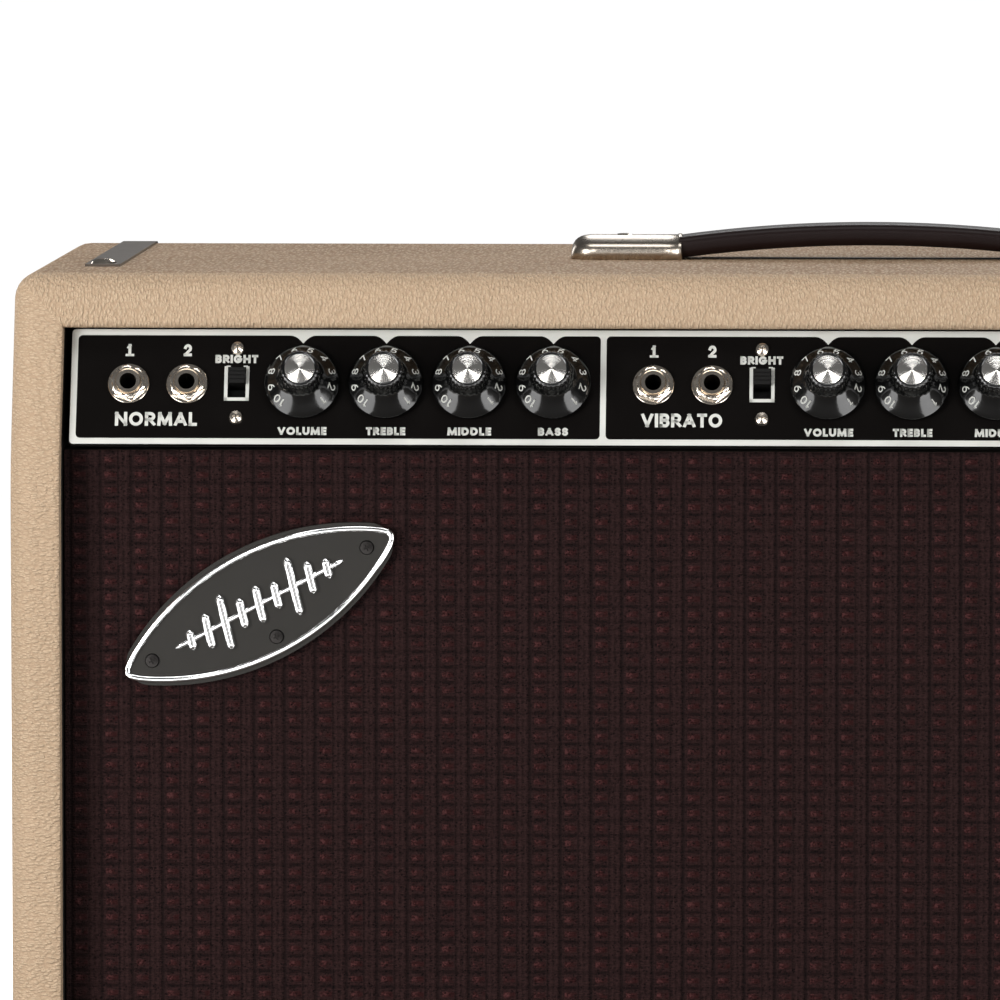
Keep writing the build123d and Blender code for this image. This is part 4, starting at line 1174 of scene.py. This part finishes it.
# Back, chassis and inside
for name in ("upper_back_panel", "lower_back_panel"):
    dress(name, vinyl, bevel=2.0 * MM)
    panel = nodes[name].data
    layer = panel.uv_layers.get("grain") or panel.uv_layers.new(name="grain")
    for loop in panel.loops:
        spot = panel.vertices[loop.vertex_index].co
        layer.data[loop.index].uv = (spot.x, spot.z + spot.y)
dress("black_screws_and_bolts", black_steel, bevel=0.2 * MM)
for name in ("phono_sockets", "toggle_bushings", "power_toggle", "standby_toggle"):
    dress(name, nickel, bevel=0.3 * MM)
for name in ("ac_inlet", "fuse_holder", "tube_sockets"):
    dress(name, soft_black, bevel=0.4 * MM)
dress("circuit_board", fibre)
dress("transformers", bell_black, bevel=0.8 * MM)
dress("speaker_baskets", hammered)
dress("speaker_magnets", ferrite, bevel=1.0 * MM)
for name in ("speaker_suspensions", "speaker_cone_left", "speaker_cone_right"):
    dress(name, paper)
dress("preamp_tube_shields", bare_aluminium, bevel=0.8 * MM)
dress("power_tubes", bulb_glass)
dress("reverb_tank", tank_paint, bevel=1.5 * MM)
dress("feet", foot_rubber, bevel=1.0 * MM)

# Studio


def path_mix(tree, first, second, end):
    """One shader for light that bounces, another for what is seen directly."""
    path = tree.nodes.new("ShaderNodeLightPath")
    pick = tree.nodes.new("ShaderNodeMixShader")
    tree.links.new(path.outputs["Is Camera Ray"], pick.inputs[0])
    tree.links.new(first, pick.inputs[1])
    tree.links.new(second, pick.inputs[2])
    tree.links.new(pick.outputs[0], end.inputs["Surface"])


def studio():
    """Plain pale floor and surround."""
    wide = 5.0
    floor = bpy.data.meshes.new("studio_floor")
    corners = [(-wide, -wide, 0), (wide, -wide, 0), (wide, wide, 0), (-wide, wide, 0)]
    floor.from_pydata(corners, [], [(0, 1, 2, 3)])
    pale = Finish("studio_floor", Base_Color=(0.9, 0.9, 0.9, 1), Roughness=0.9, Specular_IOR_Level=0.0,
                  Emission_Color=(1, 1, 1, 1), Emission_Strength=0.9)
    dull = pale.node("ShaderNodeBsdfDiffuse", None, (0.22, 0.21, 0.2, 1))
    path_mix(pale.tree, dull.socket, pale.shader.outputs[0], pale.tree.nodes["Material Output"])
    floor.materials.append(pale.material)
    shown("studio_floor", floor)

    world = bpy.data.worlds.new("studio")
    scene.world = world
    world.use_nodes = True
    tree = world.node_tree
    for node in list(tree.nodes):
        tree.nodes.remove(node)
    shades = []
    for colour, strength in (((1.0, 0.99, 0.98, 1), 0.1), ((1, 1, 1, 1), 1.02)):
        shade = tree.nodes.new("ShaderNodeBackground")
        shade.inputs["Color"].default_value = colour
        shade.inputs["Strength"].default_value = strength
        shades.append(shade.outputs[0])
    path_mix(tree, *shades, tree.nodes.new("ShaderNodeOutputWorld"))


def softbox(name, spot, aim, width, height, watts, card=False):
    """A soft light; a card is one that only shiny surfaces see."""
    light = bpy.data.lights.new(name, "AREA")
    light.shape = "RECTANGLE"
    light.size = width
    light.size_y = height
    light.energy = watts
    made = shown(name, light)
    made.location = spot
    made.visible_camera = False
    made.visible_diffuse = not card
    made.rotation_mode = "QUATERNION"
    made.rotation_quaternion = (Vector(aim) - Vector(spot)).to_track_quat("-Z", "Y")


middle = Vector((0, 0, 0.38))
softbox("left_softbox", (-2.2, -2.3, 0.75), middle, 1.0, 1.5, 82)
softbox("right_softbox", (2.3, -2.2, 0.75), middle, 1.0, 1.5, 41)
for name, side in (("left", -1), ("right", 1)):
    softbox(name + "_strip", (side * 0.98, -0.72, 0.42), middle, 0.22, 0.8, 1.3)
softbox("top_softbox", (0.0, -0.7, 2.9), middle, 2.2, 0.9, 27)
softbox("rear_softbox", (0.4, 3.0, 2.4), middle, 2.0, 1.0, 34)
softbox("rear_left_strip", (-1.8, 1.9, 0.8), middle, 0.6, 1.2, 10)
softbox("front_card", (-0.1, -4.3, 0.5), middle, 1.8, 0.9, 7, card=True)
softbox("upper_left_card", (-1.0, -3.0, 1.5), middle, 0.5, 0.9, 13, card=True)
softbox("upper_right_card", (0.7, -3.0, 1.6), middle, 0.5, 0.9, 13, card=True)
# three more lie before the cabinet, facing up
for name, x, before, z, width, height, watts in (
        ("low_front_card", -0.1, 0.95, 0.02, 2.2, 0.9, 22),
        ("low_left_card", -1.05, 0.3, 0.03, 1.1, 0.6, 7),
        ("low_right_card", 0.55, 0.3, 0.03, 0.6, 0.6, 4)):
    softbox(name, (x, front_y - before, z), (x, front_y - before, 1), width, height, watts, card=True)
studio()

# Camera


def camera():
    """A long lens, turned a little to the left of the cabinet's middle and looking a little down."""
    made = shown("camera", bpy.data.cameras.new("camera"))
    made.data.sensor_width = 36
    made.data.lens = 312.7
    made.data.clip_end = 300
    made.location = (0.0, front_y - 3.3877, top_z + 0.18865)
    yaw, pitch = radians(2.4455), radians(4.6497)
    made.rotation_euler = (pi / 2 - pitch, 0, yaw)
    scene.camera = made


camera()
scene.view_settings.view_transform = "Standard"
scene.view_settings.look = "None"
